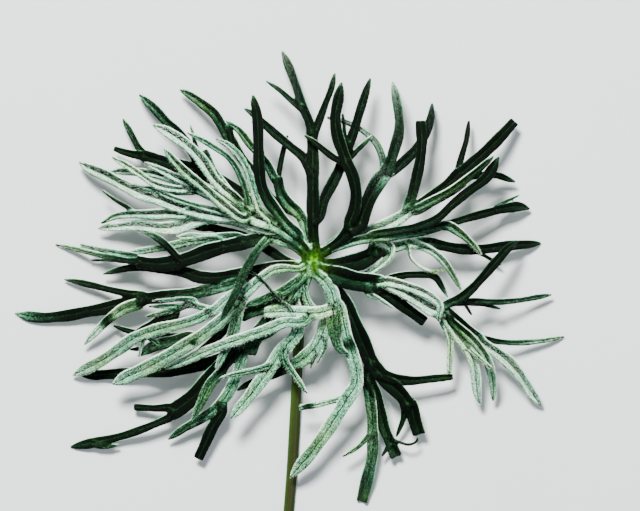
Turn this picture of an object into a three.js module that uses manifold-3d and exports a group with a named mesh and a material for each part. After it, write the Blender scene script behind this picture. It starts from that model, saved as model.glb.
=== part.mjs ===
// A delphinium leaf, picked with its stalk and laid down upper side up, in millimetres.
// +X and +Y lie along the surface, +Z is up, and the stalk points towards -Y.
// The blade is cut to its middle into rays, and each ray forks again into narrow lobes.
// Its lowest tips and the cut end of the stalk touch the surface at z = 0.
import * as THREE from "three";
import { mergeVertices } from "three/addons/utils/BufferGeometryUtils.js";
import Module from "manifold-3d";

// Heights and thicknesses.
const HUB_HEIGHT = 17; // where the rays meet, above the surface
const BLADE_THICKNESS = 0.7;
const TIP_WIDTH = 0.6; // at the end of a pointed lobe
const BLUNT_SHARE = 0.6; // width left at the end of a blunt lobe
const TAPER = 5; // length of a pointed lobe's narrowing end, at most
const BLUNT_TAPER = 1.2;

// How finely a lobe's curve is split.
const CURVE_TOLERANCE = 0.35;
const LONGEST_STEP = 10;
const CURVE_SAMPLES = 160;

// The hub and the short neck under it, where the stalk begins.
const HUB_CENTRE = [0.2, -0.5, HUB_HEIGHT - 0.4];
const HUB_RADIUS = [2.1, 2, 0.9];
const NECK_ROUTE = [
  [0.2, -0.6, 16.2],
  [-0.5, -2.2, 14.9],
  [-1.3, -3.9, 13.7],
];
const STALK_RADIUS = 1.2;
const STALK_SIDES = 10;
const JOIN_GAP = 0.3; // between the neck and the stalk, which are two colours of one growth
const STALK_ROUTE = [
  [-2.1, -6.6, 11.9],
  [-2.6, -10, 9.8],
  [-2.8, -14, 7.6],
  [-3.0, -19, 5.2],
  [-3.3, -25, 3.2],
  [-3.6, -31, 1.9],
  [-3.95, -38, 1.2],
  [-4.35, -45, 1],
  [-4.9, -52, 1],
  [-5.8, -62, 1],
  [-7.1, -75, 1],
  [-8.5, -88, 1],
  [-9.6, -98, 1],
];
const STALK_STEPS = 36;

// Where the middle of the finished leaf's box lies, seen from above, measured from the hub.
const BOX_MIDDLE = [-4.955, -25.568];

// One row for each lobe: name, what it grows from, widths at its start, middle and end, heights at
// its middle and end, roll about its own length in degrees, how it ends, and its middle line
// measured from the hub. A lobe starts at the height of what it grows from.
const LOBES = [
  // The ray towards the top.
  ["top", "hub", [2.1, 3, 2.6], [20, 17], 0, "fork",
    [[0.8, 1.5], [0.3, 6], [0.2, 10], [0.3, 15], [0.2, 20], [0.1, 25], [0, 28.5]]],
  ["top_side", "top", [2.3, 2.2, 1.9], [17, 13], 10, "point",
    [[-0.3, 20], [-1.8, 22.8], [-4.5, 25.2], [-7.5, 27.8], [-10.3, 30.3], [-13.5, 33], [-14.8, 33.8]]],
  ["top_left", "top", [2.3, 2.2, 2], [12, 0.5], -8, "point",
    [[0, 28.5], [-0.6, 31], [-1.8, 34], [-3.1, 38], [-4.6, 42], [-6.5, 46.6]]],
  ["top_left_tooth", "top_left", [1.8, 1.6, 1.2], [11.5, 10], 0, "point",
    [[-2.3, 34], [-4.5, 35.8], [-7, 38], [-10, 40]]],
  ["top_right", "top", [1.9, 1.8, 1.6], [14, 9], 12, "point",
    [[0.4, 28], [1.5, 31], [2.9, 35], [4.2, 38.5], [5, 41.6]]],
  ["top_branch", "top", [2.4, 2.6, 2.6], [18, 15.5], 0, "fork",
    [[1.6, 10], [2.8, 14], [4.8, 18], [6.3, 21], [7.5, 23.5]]],
  ["top_branch_long", "top_branch", [2.3, 2.3, 1.9], [14, 9], -10, "point",
    [[6.3, 21], [8, 25], [9.4, 29], [10.5, 33], [11.8, 37], [12.9, 40.5]]],
  ["top_branch_short", "top_branch", [1.6, 1.5, 1.3], [16, 16], 20, "point",
    [[8.2, 23], [10, 24.8], [11.6, 26.3], [13.2, 27.9]]],
  ["top_branch_tooth", "top_branch_long", [1.2, 1.1, 1], [15, 15], 0, "point",
    [[7.4, 27], [7.1, 30], [6.8, 32.6]]],

  // The ray towards the upper right.
  ["upper_right", "hub", [1.6, 2.3, 4], [19, 20], 0, "fork",
    [[1.8, 1.8], [4, 3.3], [6.3, 5], [8.3, 7], [9.6, 9]]],
  ["upper_right_tall", "upper_right", [2.8, 2.8, 2.6], [22.5, 19], 8, "point",
    [[8.3, 8.5], [9.4, 11.5], [9.7, 15], [9, 18.5], [7.8, 21.5], [6.5, 25], [5.5, 28.5], [5.1, 32],
      [5.7, 36], [6.5, 39.5]]],
  ["upper_right_tall_side", "upper_right_tall", [1.6, 1.6, 1.5], [21.5, 20.5], 0, "point",
    [[7, 22], [4.8, 23], [2.5, 24.8], [0.5, 26.5], [-1.5, 27.9]]],
  ["upper_right_outer", "upper_right", [3.6, 3.5, 3.6], [20, 17], 0, "fork",
    [[10, 7.6], [11.5, 11], [13.2, 15], [15, 18.3], [16.5, 20.2]]],
  ["upper_right_curl", "upper_right_outer", [2, 1.9, 1.5], [13.5, 9.5], 50, "point",
    [[15.7, 19.5], [15.6, 22], [14.8, 24.5], [13.2, 27], [10.8, 29], [8, 30.5], [3.5, 31.9]]],
  ["upper_right_middle", "upper_right_outer", [2.9, 2.5, 2], [14, 7], 0, "point",
    [[16.8, 20.8], [18, 24.5], [19.2, 28.5], [19.4, 31], [18.9, 35], [17.9, 39.8]]],
  ["upper_right_low", "upper_right_outer", [2.3, 2.4, 2.1], [11.5, 3], -12, "point",
    [[17.2, 19.6], [20.3, 22.1], [23.1, 25], [25.1, 28.3], [26.4, 31.8], [26.7, 35]]],

  // The ray behind it, which spreads out to the right.
  ["right_upper", "hub", [1.3, 3.1, 2.8], [15.3, 14.5], 0, "fork",
    [[2.5, 2.5], [7, 5.3], [12, 6.6], [17, 8.4], [20.5, 10.4], [22, 11.8]]],
  ["right_upper_tall", "right_upper", [2.6, 2.6, 2.4], [14.5, 12], 10, "blunt",
    [[21.2, 12], [22.2, 15], [23.1, 19], [23.9, 23], [24.3, 27], [24, 31]]],
  ["right_upper_middle", "right_upper", [2.4, 2.6, 2.8], [14, 12], 0, "fork",
    [[22.5, 12.1], [26.2, 14.4], [29.8, 16.9], [32.6, 19.6]]],
  ["right_upper_left_tip", "right_upper_middle", [1.7, 1.5, 1.4], [9, 4], 0, "point",
    [[32.3, 20], [33.2, 23.5], [34.2, 27], [34.8, 31.2]]],
  ["right_upper_right_tip", "right_upper_middle", [3, 2.8, 2.5], [9.5, 4.5], 0, "blunt",
    [[33, 19.6], [36.7, 22.8], [40.6, 26.6], [44.8, 31]]],
  ["right_upper_folded", "right_upper", [1.8, 2.1, 1.8], [15.5, 14.5], 25, "point",
    [[23, 11.8], [27.5, 14.2], [32, 17], [36.5, 20.3], [40, 23.3]]],
  ["right_upper_short", "right_upper", [1.8, 1.8, 1.6], [12.5, 10.5], 0, "point",
    [[23.5, 11.3], [27, 13.3], [30.5, 15.1], [34, 17]]],
  ["right_upper_hooked", "right_upper_short", [1.7, 1.8, 1.7], [8, 4], -10, "point",
    [[31, 16.8], [34.5, 18.7], [38, 19.2], [41, 19.2], [45, 17.8]]],

  // The ray to the right.
  ["right", "hub", [1, 2.5, 2.2], [18, 14], 0, "fork",
    [[1.8, 1.2], [5, 3], [9, 4.4], [13, 5.2], [17, 5.8], [21, 6.4], [25, 7.1], [29.5, 8.1]]],
  ["right_rising", "right", [2, 2.1, 2.5], [17.5, 12], -15, "point",
    [[13, 5.9], [18, 6.7], [23, 7.7], [27.6, 9.5], [31, 12.5], [34.6, 15.5], [38.7, 18.8],
      [41.3, 23.1]]],
  ["right_far", "right", [1.9, 2, 2.5], [8.5, 2], 0, "point",
    [[29.7, 8.3], [33.2, 9.3], [38.2, 10.8], [42.2, 11.8], [46, 12.3], [48.2, 11.8]]],
  ["right_far_tooth", "right_far", [1, 0.9, 0.8], [5.5, 5], 0, "point",
    [[40.5, 12], [43, 13.4], [45.8, 14.8]]],
  ["right_falling", "right", [2.2, 2.2, 1.7], [13.5, 11.5], 10, "point",
    [[30, 8.1], [32.5, 6.8], [34.8, 4.8], [37.4, 1.8]]],

  // The broad dark ray below it.
  ["right_lower", "hub", [1.4, 4, 2.7], [15, 14], 0, "fork",
    [[1.5, -0.3], [4.3, -0.6], [7.5, -0.4], [10.3, 0.1], [12.4, 1.1], [14.8, 2.6], [17.4, 3.6]]],
  ["right_lower_hook", "right_lower", [2.2, 2.4, 1.9], [14.5, 11.5], 15, "point",
    [[13.6, 4], [16, 4.3], [17.5, 3.3], [17.3, 1.3], [15.5, -0.5], [12.9, -2.2], [10.6, -3.1]]],
  ["right_lower_long", "right_lower", [2.6, 2.6, 2.3], [9.5, 0.5], 0, "point",
    [[18.5, 3.4], [21, 4], [25, 4.3], [28.5, 3.7], [33, 3], [38, 2.9], [44, 3.6], [50.7, 4.2]]],
  ["right_lower_tooth", "right_lower_long", [1.4, 1.2, 1], [5, 3.5], 0, "point",
    [[35.5, 2.5], [38.5, 1.3], [41.8, -0.6]]],
  ["right_lower_slant", "right_lower_long", [2.2, 2, 1.6], [11.5, 8], 12, "point",
    [[21.5, 4], [25, 3.3], [28, 1.5], [30, -0.9], [31.6, -3.5], [33, -6]]],
  ["right_lower_arc", "right_lower_long", [1, 1, 0.9], [14.5, 13.5], 60, "point",
    [[21.3, 3.3], [22, 1], [23.8, -0.8], [26.2, -1.9], [28.7, -1.9]]],

  // The ray towards the lower right.
  ["lower_right", "hub", [1.7, 4.6, 3.8], [15.5, 14], 0, "fork",
    [[1.5, -1.5], [5, -2.9], [9, -4.1], [13, -4.5], [15.5, -4.6]]],
  ["lower_right_top", "lower_right", [1.9, 1.8, 1.6], [12.5, 9.5], 0, "point",
    [[15.5, -4.7], [18, -3.4], [21, -2.8], [24, -2.8], [26.5, -3], [27.7, -3.8], [28.6, -5.2],
      [30, -7.6]]],
  ["lower_right_upper", "lower_right", [2.2, 2.3, 1.9], [15, 14.5], 15, "point",
    [[16.5, -4.2], [22, -5.6], [26.5, -7.6], [28.5, -9.5], [28, -13]]],
  ["lower_right_middle", "lower_right", [2.4, 2.8, 3.2], [13, 12], 0, "fork",
    [[16, -4.8], [20, -6.6], [24, -8.8], [27, -10.6], [29.5, -11]]],
  ["lower_right_turned", "lower_right", [2.8, 2.8, 2.6], [10.5, 8], 0, "blunt",
    [[13.5, -5.5], [16.9, -7.3], [20.3, -9.9], [24.9, -13.1]]],
  ["lower_right_flap", "lower_right_turned", [1.3, 1.5, 1.1], [14, 13], 20, "point",
    [[12.3, -6.6], [14.8, -8], [17.8, -10]]],
  ["lower_right_crossing", "lower_right_middle", [2.4, 2.2, 2.2], [14, 8], 0, "point",
    [[29.5, -9.6], [32.5, -8.2], [35, -6.2], [38, -3], [41, 0.3], [43.5, 3], [45.5, 4.6]]],
  ["lower_right_level", "lower_right_crossing", [1.6, 1.5, 1.4], [8, 2.5], 0, "point",
    [[32, -9], [36, -8.7], [41, -8.8], [46, -8.4], [50, -7.8], [53, -7.3]]],
  ["lower_right_level_tooth", "lower_right_level", [1.3, 1.3, 1.1], [9, 8], 0, "point",
    [[34, -9.3], [38, -9.4], [41.6, -10.3]]],
  ["lower_right_small_tooth", "lower_right_level", [0.9, 0.8, 0.8], [10, 9], 0, "point",
    [[34, -9.6], [35.3, -11.6]]],
  ["lower_right_fan", "lower_right_middle", [2.3, 2.2, 2.2], [11.5, 9], 0, "fork",
    [[29, -10.5], [32, -12.6], [35, -15], [37.5, -17]]],
  ["lower_right_far", "lower_right_fan", [1.5, 1.5, 1.3], [4.5, 0.4], 0, "point",
    [[37.5, -16.6], [41, -17.5], [46, -17.9], [51, -17.5], [55.8, -16.6]]],
  ["lower_right_down", "lower_right_fan", [2.3, 2.9, 2.4], [6.5, 2], 0, "point",
    [[37.8, -17.9], [40.6, -19.8], [44, -22.8], [47, -26.4], [49.4, -29.8], [50.9, -31.8]]],
  ["lower_right_bent", "lower_right_fan", [2, 2.2, 2], [10.5, 3.5], 0, "point",
    [[30.5, -12.5], [32.5, -14.5], [35.5, -17.3], [37.7, -20], [39.3, -23], [40.2, -27],
      [40.2, -30.6]]],
  ["lower_right_inner", "lower_right_middle", [2.3, 2.4, 2.3], [9, 4.5], 8, "point",
    [[29.3, -11.9], [31.7, -15.5], [34.2, -18.6], [35.7, -22], [36.4, -26], [36.8, -29],
      [37.3, -31.3]]],
  ["lower_right_inner_tooth", "lower_right_inner", [1.4, 1.3, 1.1], [12, 12.5], 0, "point",
    [[34.8, -19], [37, -21.3], [39.8, -23.5]]],
  ["lower_right_hanging", "lower_right_middle", [2.8, 1.7, 1.5], [10, 8], -10, "blunt",
    [[28.8, -12.5], [30, -15.5], [30.6, -18], [30.5, -21], [30.3, -24.4]]],

  // The dark ray down to the right.
  ["down_right", "hub", [1.4, 3.7, 3.4], [13.5, 10], 0, "fork",
    [[2, -2.7], [5.2, -6], [7.6, -9.7], [9.6, -14], [11.4, -18.5], [13.2, -22.4], [15.3, -25]]],
  ["down_right_level", "down_right", [3, 2.3, 1.6], [8, 6], 0, "blunt",
    [[15, -24.3], [18, -25.8], [22, -26.2], [26, -25.9], [31, -25.5]]],
  ["down_right_middle", "down_right", [2.7, 3.4, 3.4], [8.5, 7], 0, "fork",
    [[15.5, -25.6], [18.4, -28], [20.4, -30.2], [21.1, -32.2]]],
  ["down_right_middle_left", "down_right_middle", [1.9, 1.8, 1.4], [5, 3], 0, "point",
    [[20.7, -31.5], [20.3, -34.5], [18.8, -38.6]]],
  ["down_right_middle_right", "down_right_middle", [3.2, 3.3, 3.2], [5.5, 4], 0, "blunt",
    [[21.5, -31.2], [22.6, -34.5], [23.8, -38]]],
  ["down_right_inner", "down_right", [2.2, 2.7, 2.8], [7, 3], 0, "blunt",
    [[12.6, -25.5], [14.2, -29.3], [15.1, -33], [16, -36.5], [17.3, -39.6], [18.6, -43]]],
  ["down_right_inner_curl", "down_right_inner", [0.8, 0.7, 0.7], [4.5, 5], 0, "point",
    [[17.3, -38.9], [19.5, -40], [21.5, -40.5], [23.2, -39.8], [23.4, -39]]],
  ["down_right_inner_tooth", "down_right_inner", [1.4, 1.3, 1], [3.5, 3.5], 0, "point",
    [[17.2, -40.5], [15.6, -43]]],
  ["down_right_long", "down_right", [2.2, 2.7, 2.9], [6, 0.5], 0, "blunt",
    [[12.1, -26], [12.8, -30], [13.4, -34], [13.5, -38], [13.4, -42], [12.7, -46], [11.9, -50],
      [11.2, -53]]],
  ["down_right_long_tooth", "down_right_long", [1.5, 1.4, 1.1], [6, 6.5], 0, "point",
    [[12, -39.3], [10.3, -41], [6.9, -43]]],

  // The two limbs round the oval gap below the hub, and what hangs from them.
  ["down", "hub", [1.6, 2.9, 3.2], [17, 16], 0, "fork",
    [[0.6, -2.3], [2.4, -3.9], [4.2, -6.3], [4.8, -8.8], [4.9, -11]]],
  ["down_left_limb", "hub", [1.1, 1.5, 2], [16.5, 16], 0, "fork",
    [[-0.7, -2.5], [-1.4, -5], [-1.4, -7.5], [-0.6, -9.4], [0.6, -10.8]]],
  ["down_level", "down", [3, 3, 2.6], [17, 15.5], 0, "blunt",
    [[4.5, -10.6], [1, -11.3], [-3, -11.1], [-7, -11], [-10.3, -11.2]]],
  ["down_sweeping", "down", [3.2, 3.3, 1.8], [9.5, 7.5], 12, "point",
    [[3.5, -12.5], [2.3, -16], [0.5, -19.2], [-2.5, -21.9], [-6, -23.6], [-10, -25.3],
      [-13.5, -26.7], [-16.5, -28.4]]],
  ["down_sweeping_edge", "down_sweeping", [1, 0.9, 0.8], [11.5, 11], 0, "point",
    [[3.2, -18], [2, -21], [1.2, -22.3]]],
  ["down_sweeping_tooth", "down_sweeping", [0.9, 0.8, 0.8], [10.5, 10], 0, "point",
    [[0.8, -20], [-0.3, -23.4]]],
  ["down_short", "down", [3.4, 3.2, 2.6], [16, 16.5], 0, "point",
    [[4.7, -11.5], [4.9, -14.2], [5.3, -17.2], [6.3, -19.3], [7.9, -20.1]]],
  ["down_long", "down", [1.9, 3.2, 2.8], [12.5, 5.5], 0, "point",
    [[6.2, -9.5], [7, -13], [7.8, -16.5], [8.8, -20], [9.8, -24], [9.8, -27], [8, -30], [5.5, -34],
      [2.5, -38.5], [-0.8, -43], [-4.7, -47.6]]],
  ["down_long_side", "down_long", [1.7, 1.5, 1.5], [10.5, 9.5], 0, "blunt",
    [[6.5, -30.2], [3.5, -31], [0.5, -31.7], [-2.6, -32.2]]],
  ["down_edge_on", "down_level", [1, 1, 0.9], [20, 20.5], 70, "point",
    [[-4.8, -10.2], [-6.5, -8.8], [-9, -6.3], [-11.5, -3.5], [-13.8, -2]]],

  // The fans towards the lower left.
  ["lower_left_pale", "hub", [1.4, 2.8, 2.8], [16.2, 15.5], 0, "fork",
    [[-1.5, -3], [-3, -5.5], [-4.5, -8], [-6, -9.5], [-6.5, -11]]],
  ["lower_left_inner", "hub", [1.4, 2.6, 2.2], [17.5, 16.5], 10, "point",
    [[-2.5, -3.6], [-6, -6.3], [-9, -7.6], [-12, -8.8], [-14.8, -9.8]]],
  ["lower_left_backed", "lower_left_inner", [2, 3, 2.6], [15, 14], 0, "blunt",
    [[-8, -9.3], [-11, -10.2], [-14.2, -11.4], [-15.6, -12.2]]],
  ["lower_left_light", "down_level", [2.6, 2.6, 2.1], [16.5, 10], 0, "point",
    [[-2, -13.2], [-6, -13.4], [-9, -14.6], [-12.5, -15.8], [-16, -17], [-20, -18.4], [-24, -20],
      [-28, -21.8], [-32.5, -23.5]]],
  ["lower_left_dark", "lower_left_pale", [2.8, 2.8, 2.5], [7.5, 0.6], 0, "point",
    [[-9, -14.8], [-14, -17.2], [-18, -20], [-23, -22.3], [-30, -24], [-40, -24.6], [-51, -25.3]]],
  ["lower_left_green", "lower_left_pale", [2.8, 3.6, 3.2], [12.5, 12.5], 0, "blunt",
    [[-8.5, -12], [-11, -14.5], [-13, -17.5], [-13.8, -20.3]]],
  ["lower_left_wide", "lower_left_pale", [2.6, 3.3, 2.7], [12, 11], 0, "point",
    [[-3.2, -15.3], [-5.2, -18], [-7.3, -20.6], [-9.4, -23.7], [-12.3, -27.6], [-15.1, -31.2],
      [-17.9, -34.6]]],
  ["lower_left_wide_side", "lower_left_wide", [1.6, 1.6, 1.2], [12.7, 12.5], 0, "point",
    [[-9.5, -23], [-12, -23.8], [-15, -24.4], [-18, -25], [-20.3, -25.7]]],
  ["lower_left_wide_drop", "lower_left_wide", [2, 1.9, 1.5], [11.5, 10.5], 0, "point",
    [[-6, -18.5], [-6.3, -21], [-5, -23.5], [-3.2, -26], [-1.2, -28.9]]],
  ["lower_left_limb", "lower_left_dark", [3.2, 4, 3.7], [8, 6], 0, "fork",
    [[-17, -19.8], [-21.4, -24.4], [-24.9, -28.5], [-28.3, -31.5], [-31.2, -33.5]]],
  ["lower_left_limb_top", "lower_left_limb", [2.3, 1.9, 1.7], [4.5, 3], 0, "blunt",
    [[-31.5, -32.3], [-35, -32.4], [-39.3, -32.2]]],
  ["lower_left_limb_long", "lower_left_limb", [2.1, 2, 2.5], [3.5, 0.5], 0, "point",
    [[-31.3, -34.2], [-35, -36], [-40, -37.9], [-45, -39.3], [-50, -40.4], [-53.5, -41.1]]],
  ["lower_left_limb_green", "lower_left_limb_long", [1.5, 1.6, 1.3], [2.5, 2.5], 0, "point",
    [[-48, -40.4], [-45.5, -40.9], [-42.9, -40.6]]],
  ["lower_left_limb_inner", "lower_left_limb", [2.5, 2.6, 2], [11, 10], 0, "point",
    [[-20, -24], [-22.5, -27], [-24.5, -31], [-26.5, -35]]],
  ["lower_left_curved", "lower_left_dark", [2.4, 2.6, 2], [7.5, 3], 0, "point",
    [[-15.5, -21], [-16.7, -25], [-18.3, -28.5], [-21, -32], [-25, -35], [-28.5, -37],
      [-31.8, -39.3]]],
  ["lower_left_curved_drop", "lower_left_curved", [2.3, 2.6, 2.5], [5.5, 3.5], 0, "blunt",
    [[-19.8, -33], [-22, -36.5], [-23.8, -40.5], [-25.2, -43.5]]],

  // The light ribbon to the left of the hub, and its fan.
  ["left_ribbon", "hub", [1, 2.3, 2.8], [19, 18], 0, "fork",
    [[-2.7, -1.5], [-6, -1.4], [-8.3, -1.7], [-10.5, -3], [-12.5, -4.8], [-14.8, -7], [-16.2, -9.5]]],
  ["left_ribbon_down", "left_ribbon", [2.8, 2.6, 1.9], [15, 12.5], 0, "point",
    [[-16, -9], [-16.5, -12], [-17.4, -15.5], [-19, -19], [-21.2, -23.8]]],
  ["left_broad", "left_ribbon", [2.6, 3.2, 3.3], [14.5, 9], 0, "point",
    [[-16.5, -9.8], [-18.5, -11.6], [-20.5, -13.3], [-25.5, -17], [-30, -19.8], [-35, -22.6],
      [-40, -25], [-44, -27]]],
  ["left_broad_under", "left_ribbon", [2, 2.4, 2], [12, 8], 0, "point",
    [[-17, -11.5], [-19, -14.3], [-21.5, -17.1], [-24.6, -20], [-28, -22.4]]],
  ["left_upper_limb", "left_ribbon", [2, 2.4, 2.2], [18, 16.5], 0, "fork",
    [[-17, -7], [-19.3, -8.5], [-21.5, -10.5], [-22.8, -11.2]]],
  ["left_upper_long", "left_upper_limb", [2.2, 2.9, 2.7], [12.5, 2], 0, "point",
    [[-22.6, -11], [-25.5, -12.6], [-30, -13.9], [-35, -15.2], [-39.5, -17], [-42, -18.7],
      [-47, -22], [-53, -25.2]]],
  ["left_upper_twig", "left_upper_limb", [1.8, 1.6, 1.5], [15.5, 14.5], 0, "fork",
    [[-22.6, -10.4], [-25, -9.8], [-28, -9.2]]],
  ["left_upper_first", "left_upper_twig", [1.4, 1.3, 1.1], [14.5, 14], 15, "point",
    [[-26, -8.6], [-28.5, -8.2], [-32, -8.5], [-35, -8.6]]],
  ["left_upper_second", "left_upper_twig", [1.4, 1.4, 1.2], [12.8, 12], 0, "point",
    [[-27, -9.3], [-31, -9.8], [-36, -9.8]]],
  ["left_upper_third", "left_upper_twig", [1.3, 1.4, 1.3], [12.5, 11], 0, "point",
    [[-28, -9.8], [-33, -11.2], [-36.6, -12]]],
  ["left_upper_dark", "left_upper_third", [1.3, 2.7, 1.9], [10.5, 8.5], 0, "point",
    [[-30.2, -11.7], [-33.3, -12.9], [-37.3, -14.6], [-39.5, -15.8]]],
  ["left_tucked", "left_broad", [2.4, 2.9, 2.6], [12, 9.5], 0, "point",
    [[-27, -16.5], [-31, -17.6], [-35, -18.6], [-38.5, -20.8]]],
  ["left_tucked_edge", "left_tucked", [1.3, 1.2, 1], [12.5, 11.5], 30, "point",
    [[-36.7, -16.8], [-37.7, -18.6], [-38.2, -20.9]]],
  ["left_tucked_tip", "left_tucked", [1.4, 1.3, 1.1], [8.5, 8], 0, "point",
    [[-36, -18.8], [-40.2, -19.4]]],
  ["left_under", "left_broad", [1.6, 1.7, 1.5], [7.5, 4], 0, "point",
    [[-28, -16.6], [-34, -16.5], [-39.5, -15.6], [-43.9, -14.2]]],

  // The dark limbs straight to the left.
  ["left_first", "hub", [1.5, 3.4, 3.1], [17, 11], 0, "fork",
    [[-1.3, 1.2], [-3.5, 3.2], [-6, 4.5], [-9, 5.4], [-12, 5.1], [-15, 4.3], [-19, 3.5], [-23, 2.4],
      [-27, 0.9], [-31, -0.2], [-35, -0.4], [-38.5, 0.1]]],
  ["left_folded", "left_first", [2, 2.1, 1.8], [23, 22.5], 0, "point",
    [[-9.8, 5], [-11.5, 3.3], [-13, 1], [-14.7, -2], [-16.5, -6], [-18.3, -9.5], [-20.2, -12.9]]],
  ["left_first_upper", "left_first", [2.2, 2.3, 1.9], [15, 12.5], 0, "point",
    [[-16, 5.4], [-19, 5.4], [-23.5, 5.4], [-27, 5.7], [-30, 5.5]]],
  ["left_first_lower", "left_first", [1.9, 2, 1.7], [12.5, 8], 0, "point",
    [[-21, 4.8], [-26, 4.6], [-31, 3.6], [-36, 2.7], [-41, 2]]],
  ["left_first_cross", "left_first", [1.8, 1.8, 1.5], [15.5, 14], 0, "point",
    [[-29.5, 0.8], [-31.5, 3], [-33.5, 4.8], [-36, 6.3], [-38.8, 7.2]]],
  ["left_first_tip", "left_first", [1.8, 1.6, 1.3], [6.5, 1.5], 0, "point",
    [[-38.5, 1], [-43, 1.9], [-47, 2.8], [-51.4, 3.9]]],
  ["left_first_far", "left_first", [1.7, 1.4, 1.2], [5.5, 0.4], 0, "point",
    [[-38.5, 0.1], [-41, 0.3], [-45, 1.1], [-49, 2], [-53, 3], [-56.8, 3.9]]],
  ["left_first_small", "left_first_far", [1.3, 1.2, 1], [3, 2.5], 0, "point",
    [[-43, 0.3], [-46, 0.5], [-49, 0.4]]],
  ["left_second", "hub", [1.5, 3, 1.5], [13.5, 4], 0, "point",
    [[-2.8, -0.6], [-5, -0.6], [-9, -1.1], [-13, -1.9], [-17, -2.8], [-21, -3.4], [-25, -3.3],
      [-28, -2.3], [-32, -1.5], [-37, -1.1], [-41, -1.4], [-46.2, -2.6]]],
  ["left_third", "left_second", [2.4, 2.8, 3.1], [12.5, 8], 0, "fork",
    [[-13, -3], [-17, -4.7], [-21, -5.8], [-26, -6.8], [-31, -7.4], [-36, -8], [-38.5, -8.3]]],
  ["left_third_upper", "left_third", [1.8, 1.7, 1.6], [5, 1.5], 0, "point",
    [[-37, -7.3], [-41, -6.9], [-45, -6.1], [-49, -5.1], [-52, -4.4], [-54.8, -3.9]]],
  ["left_third_far", "left_third", [2.8, 2.9, 2.6], [3, 0.5], 0, "point",
    [[-38, -8.2], [-42, -9.1], [-46, -10.3], [-50, -11], [-55, -11.9], [-60, -12.3], [-63.5, -11.9],
      [-65.8, -11.4]]],
  ["left_third_lower", "left_third", [2.9, 2.5, 1.8], [7, 3.5], 0, "point",
    [[-38, -9], [-41.5, -10.2], [-44.6, -12.3], [-47, -14.6], [-49, -16.6], [-50.4, -18.2]]],
  ["left_behind", "hub", [1.5, 2.4, 1.9], [12.5, 9.5], 0, "point",
    [[-2.8, -0.4], [-6, 0.5], [-9, 2.3], [-12, 4.2], [-15, 5.6], [-19, 6.8], [-23, 7.8],
      [-26.5, 8.1]]],
  ["left_behind_tooth", "left_behind", [0.9, 0.8, 0.8], [10, 9.5], 0, "point",
    [[-23.5, 7.1], [-27.2, 7.7]]],

  // The great fan towards the upper left.
  ["upper_left", "hub", [1.7, 3.4, 3], [20, 18.5], 0, "fork",
    [[-0.8, 2], [-3, 4.5], [-6, 6.6], [-9, 8.3], [-12, 9.5], [-16, 11.6], [-19, 13.8]]],
  ["upper_left_white", "upper_left", [1.5, 3.2, 2], [13, 4], 0, "point",
    [[-8, 6.5], [-11, 7.3], [-15, 8.6], [-18, 9.4], [-21, 9.8], [-24, 9.6], [-27, 8.8], [-30, 7.9],
      [-33, 7.5], [-36, 7.7], [-39, 8], [-43, 7.9], [-47.3, 7.5]]],
  ["upper_left_outer", "upper_left", [2, 2.9, 2.6], [12.5, 4], 0, "point",
    [[-14, 9.7], [-17, 9.8], [-22, 10.4], [-26, 11], [-30, 12.4], [-34, 14], [-38, 15.3], [-42, 17],
      [-46, 19.2], [-50, 21.2], [-51.5, 22.1]]],
  ["upper_left_low", "upper_left_outer", [2.2, 2.5, 1.6], [10, 6.5], 0, "point",
    [[-28.5, 10.5], [-32, 10.7], [-36, 10.6], [-40, 10.5], [-43.5, 10.1], [-46.6, 8.7]]],
  ["upper_left_low_tooth", "upper_left_low", [1.1, 1, 0.9], [8, 7.5], 0, "point",
    [[-39.5, 11.2], [-41.5, 12.5], [-43.7, 13.8], [-46.3, 15.8]]],
  ["upper_left_short", "upper_left", [1.5, 1.6, 1.4], [17, 13.5], 0, "point",
    [[-18, 10.6], [-21.5, 11.4], [-25.5, 12.4], [-29, 13.5], [-32, 14.7], [-35, 16.2]]],
  ["upper_left_front", "upper_left", [2.4, 2.4, 2.2], [22.5, 20], 0, "point",
    [[-15, 9.5], [-18.5, 11.8], [-21.5, 14.2], [-24.5, 16.8], [-27.5, 19.4], [-30, 22],
      [-32.5, 24.9]]],
  ["upper_left_spread", "upper_left", [2, 2.2, 2], [16.5, 16], 0, "fork",
    [[-18, 13], [-21, 14], [-24, 15.2], [-27, 16.5]]],
  ["upper_left_spread_a", "upper_left_spread", [1.9, 1.8, 1.6], [14.5, 9.5], 0, "point",
    [[-26, 16], [-28, 16], [-32, 16.5], [-35, 17.4], [-38, 19.3], [-41, 21.3], [-44, 23.1]]],
  ["upper_left_spread_b", "upper_left_spread", [1.5, 1.4, 1.2], [13.2, 10.4], 0, "point",
    [[-26, 15.6], [-32, 15.4], [-36, 16.2], [-40, 17.2]]],
  ["upper_left_spread_c", "upper_left_spread", [2, 2, 1.8], [11.5, 3.5], 0, "point",
    [[-27, 17], [-29.5, 17.9], [-33, 18.9], [-37, 19.8], [-41, 20.1], [-44.8, 20.1]]],
  ["upper_left_spread_d", "upper_left_spread", [1.9, 1.9, 1.7], [15.5, 13.5], 0, "point",
    [[-27.5, 17.3], [-30, 18.6], [-33, 20.2], [-36.8, 21.9]]],
  ["upper_left_inner", "upper_left", [2, 2.2, 1.8], [19.5, 18.5], 0, "point",
    [[-15.5, 12], [-19, 14.3], [-23, 16.8]]],
  ["upper_left_silver", "upper_left", [2, 2.7, 2.4], [18, 12], 0, "point",
    [[-14.8, 11.8], [-17.2, 14.2], [-19.6, 16.4], [-21.7, 18.6], [-23.5, 21.2], [-25.6, 23.8],
      [-28.7, 26.6], [-32.3, 29.1], [-35, 30.3]]],
  ["upper_left_stub", "upper_left", [1.9, 1.9, 1.8], [19.5, 17], 0, "blunt",
    [[-14.5, 11.8], [-17.2, 14.5], [-19.7, 17.5], [-21.8, 20.5], [-23, 22.8], [-23.8, 24.4]]],
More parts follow.
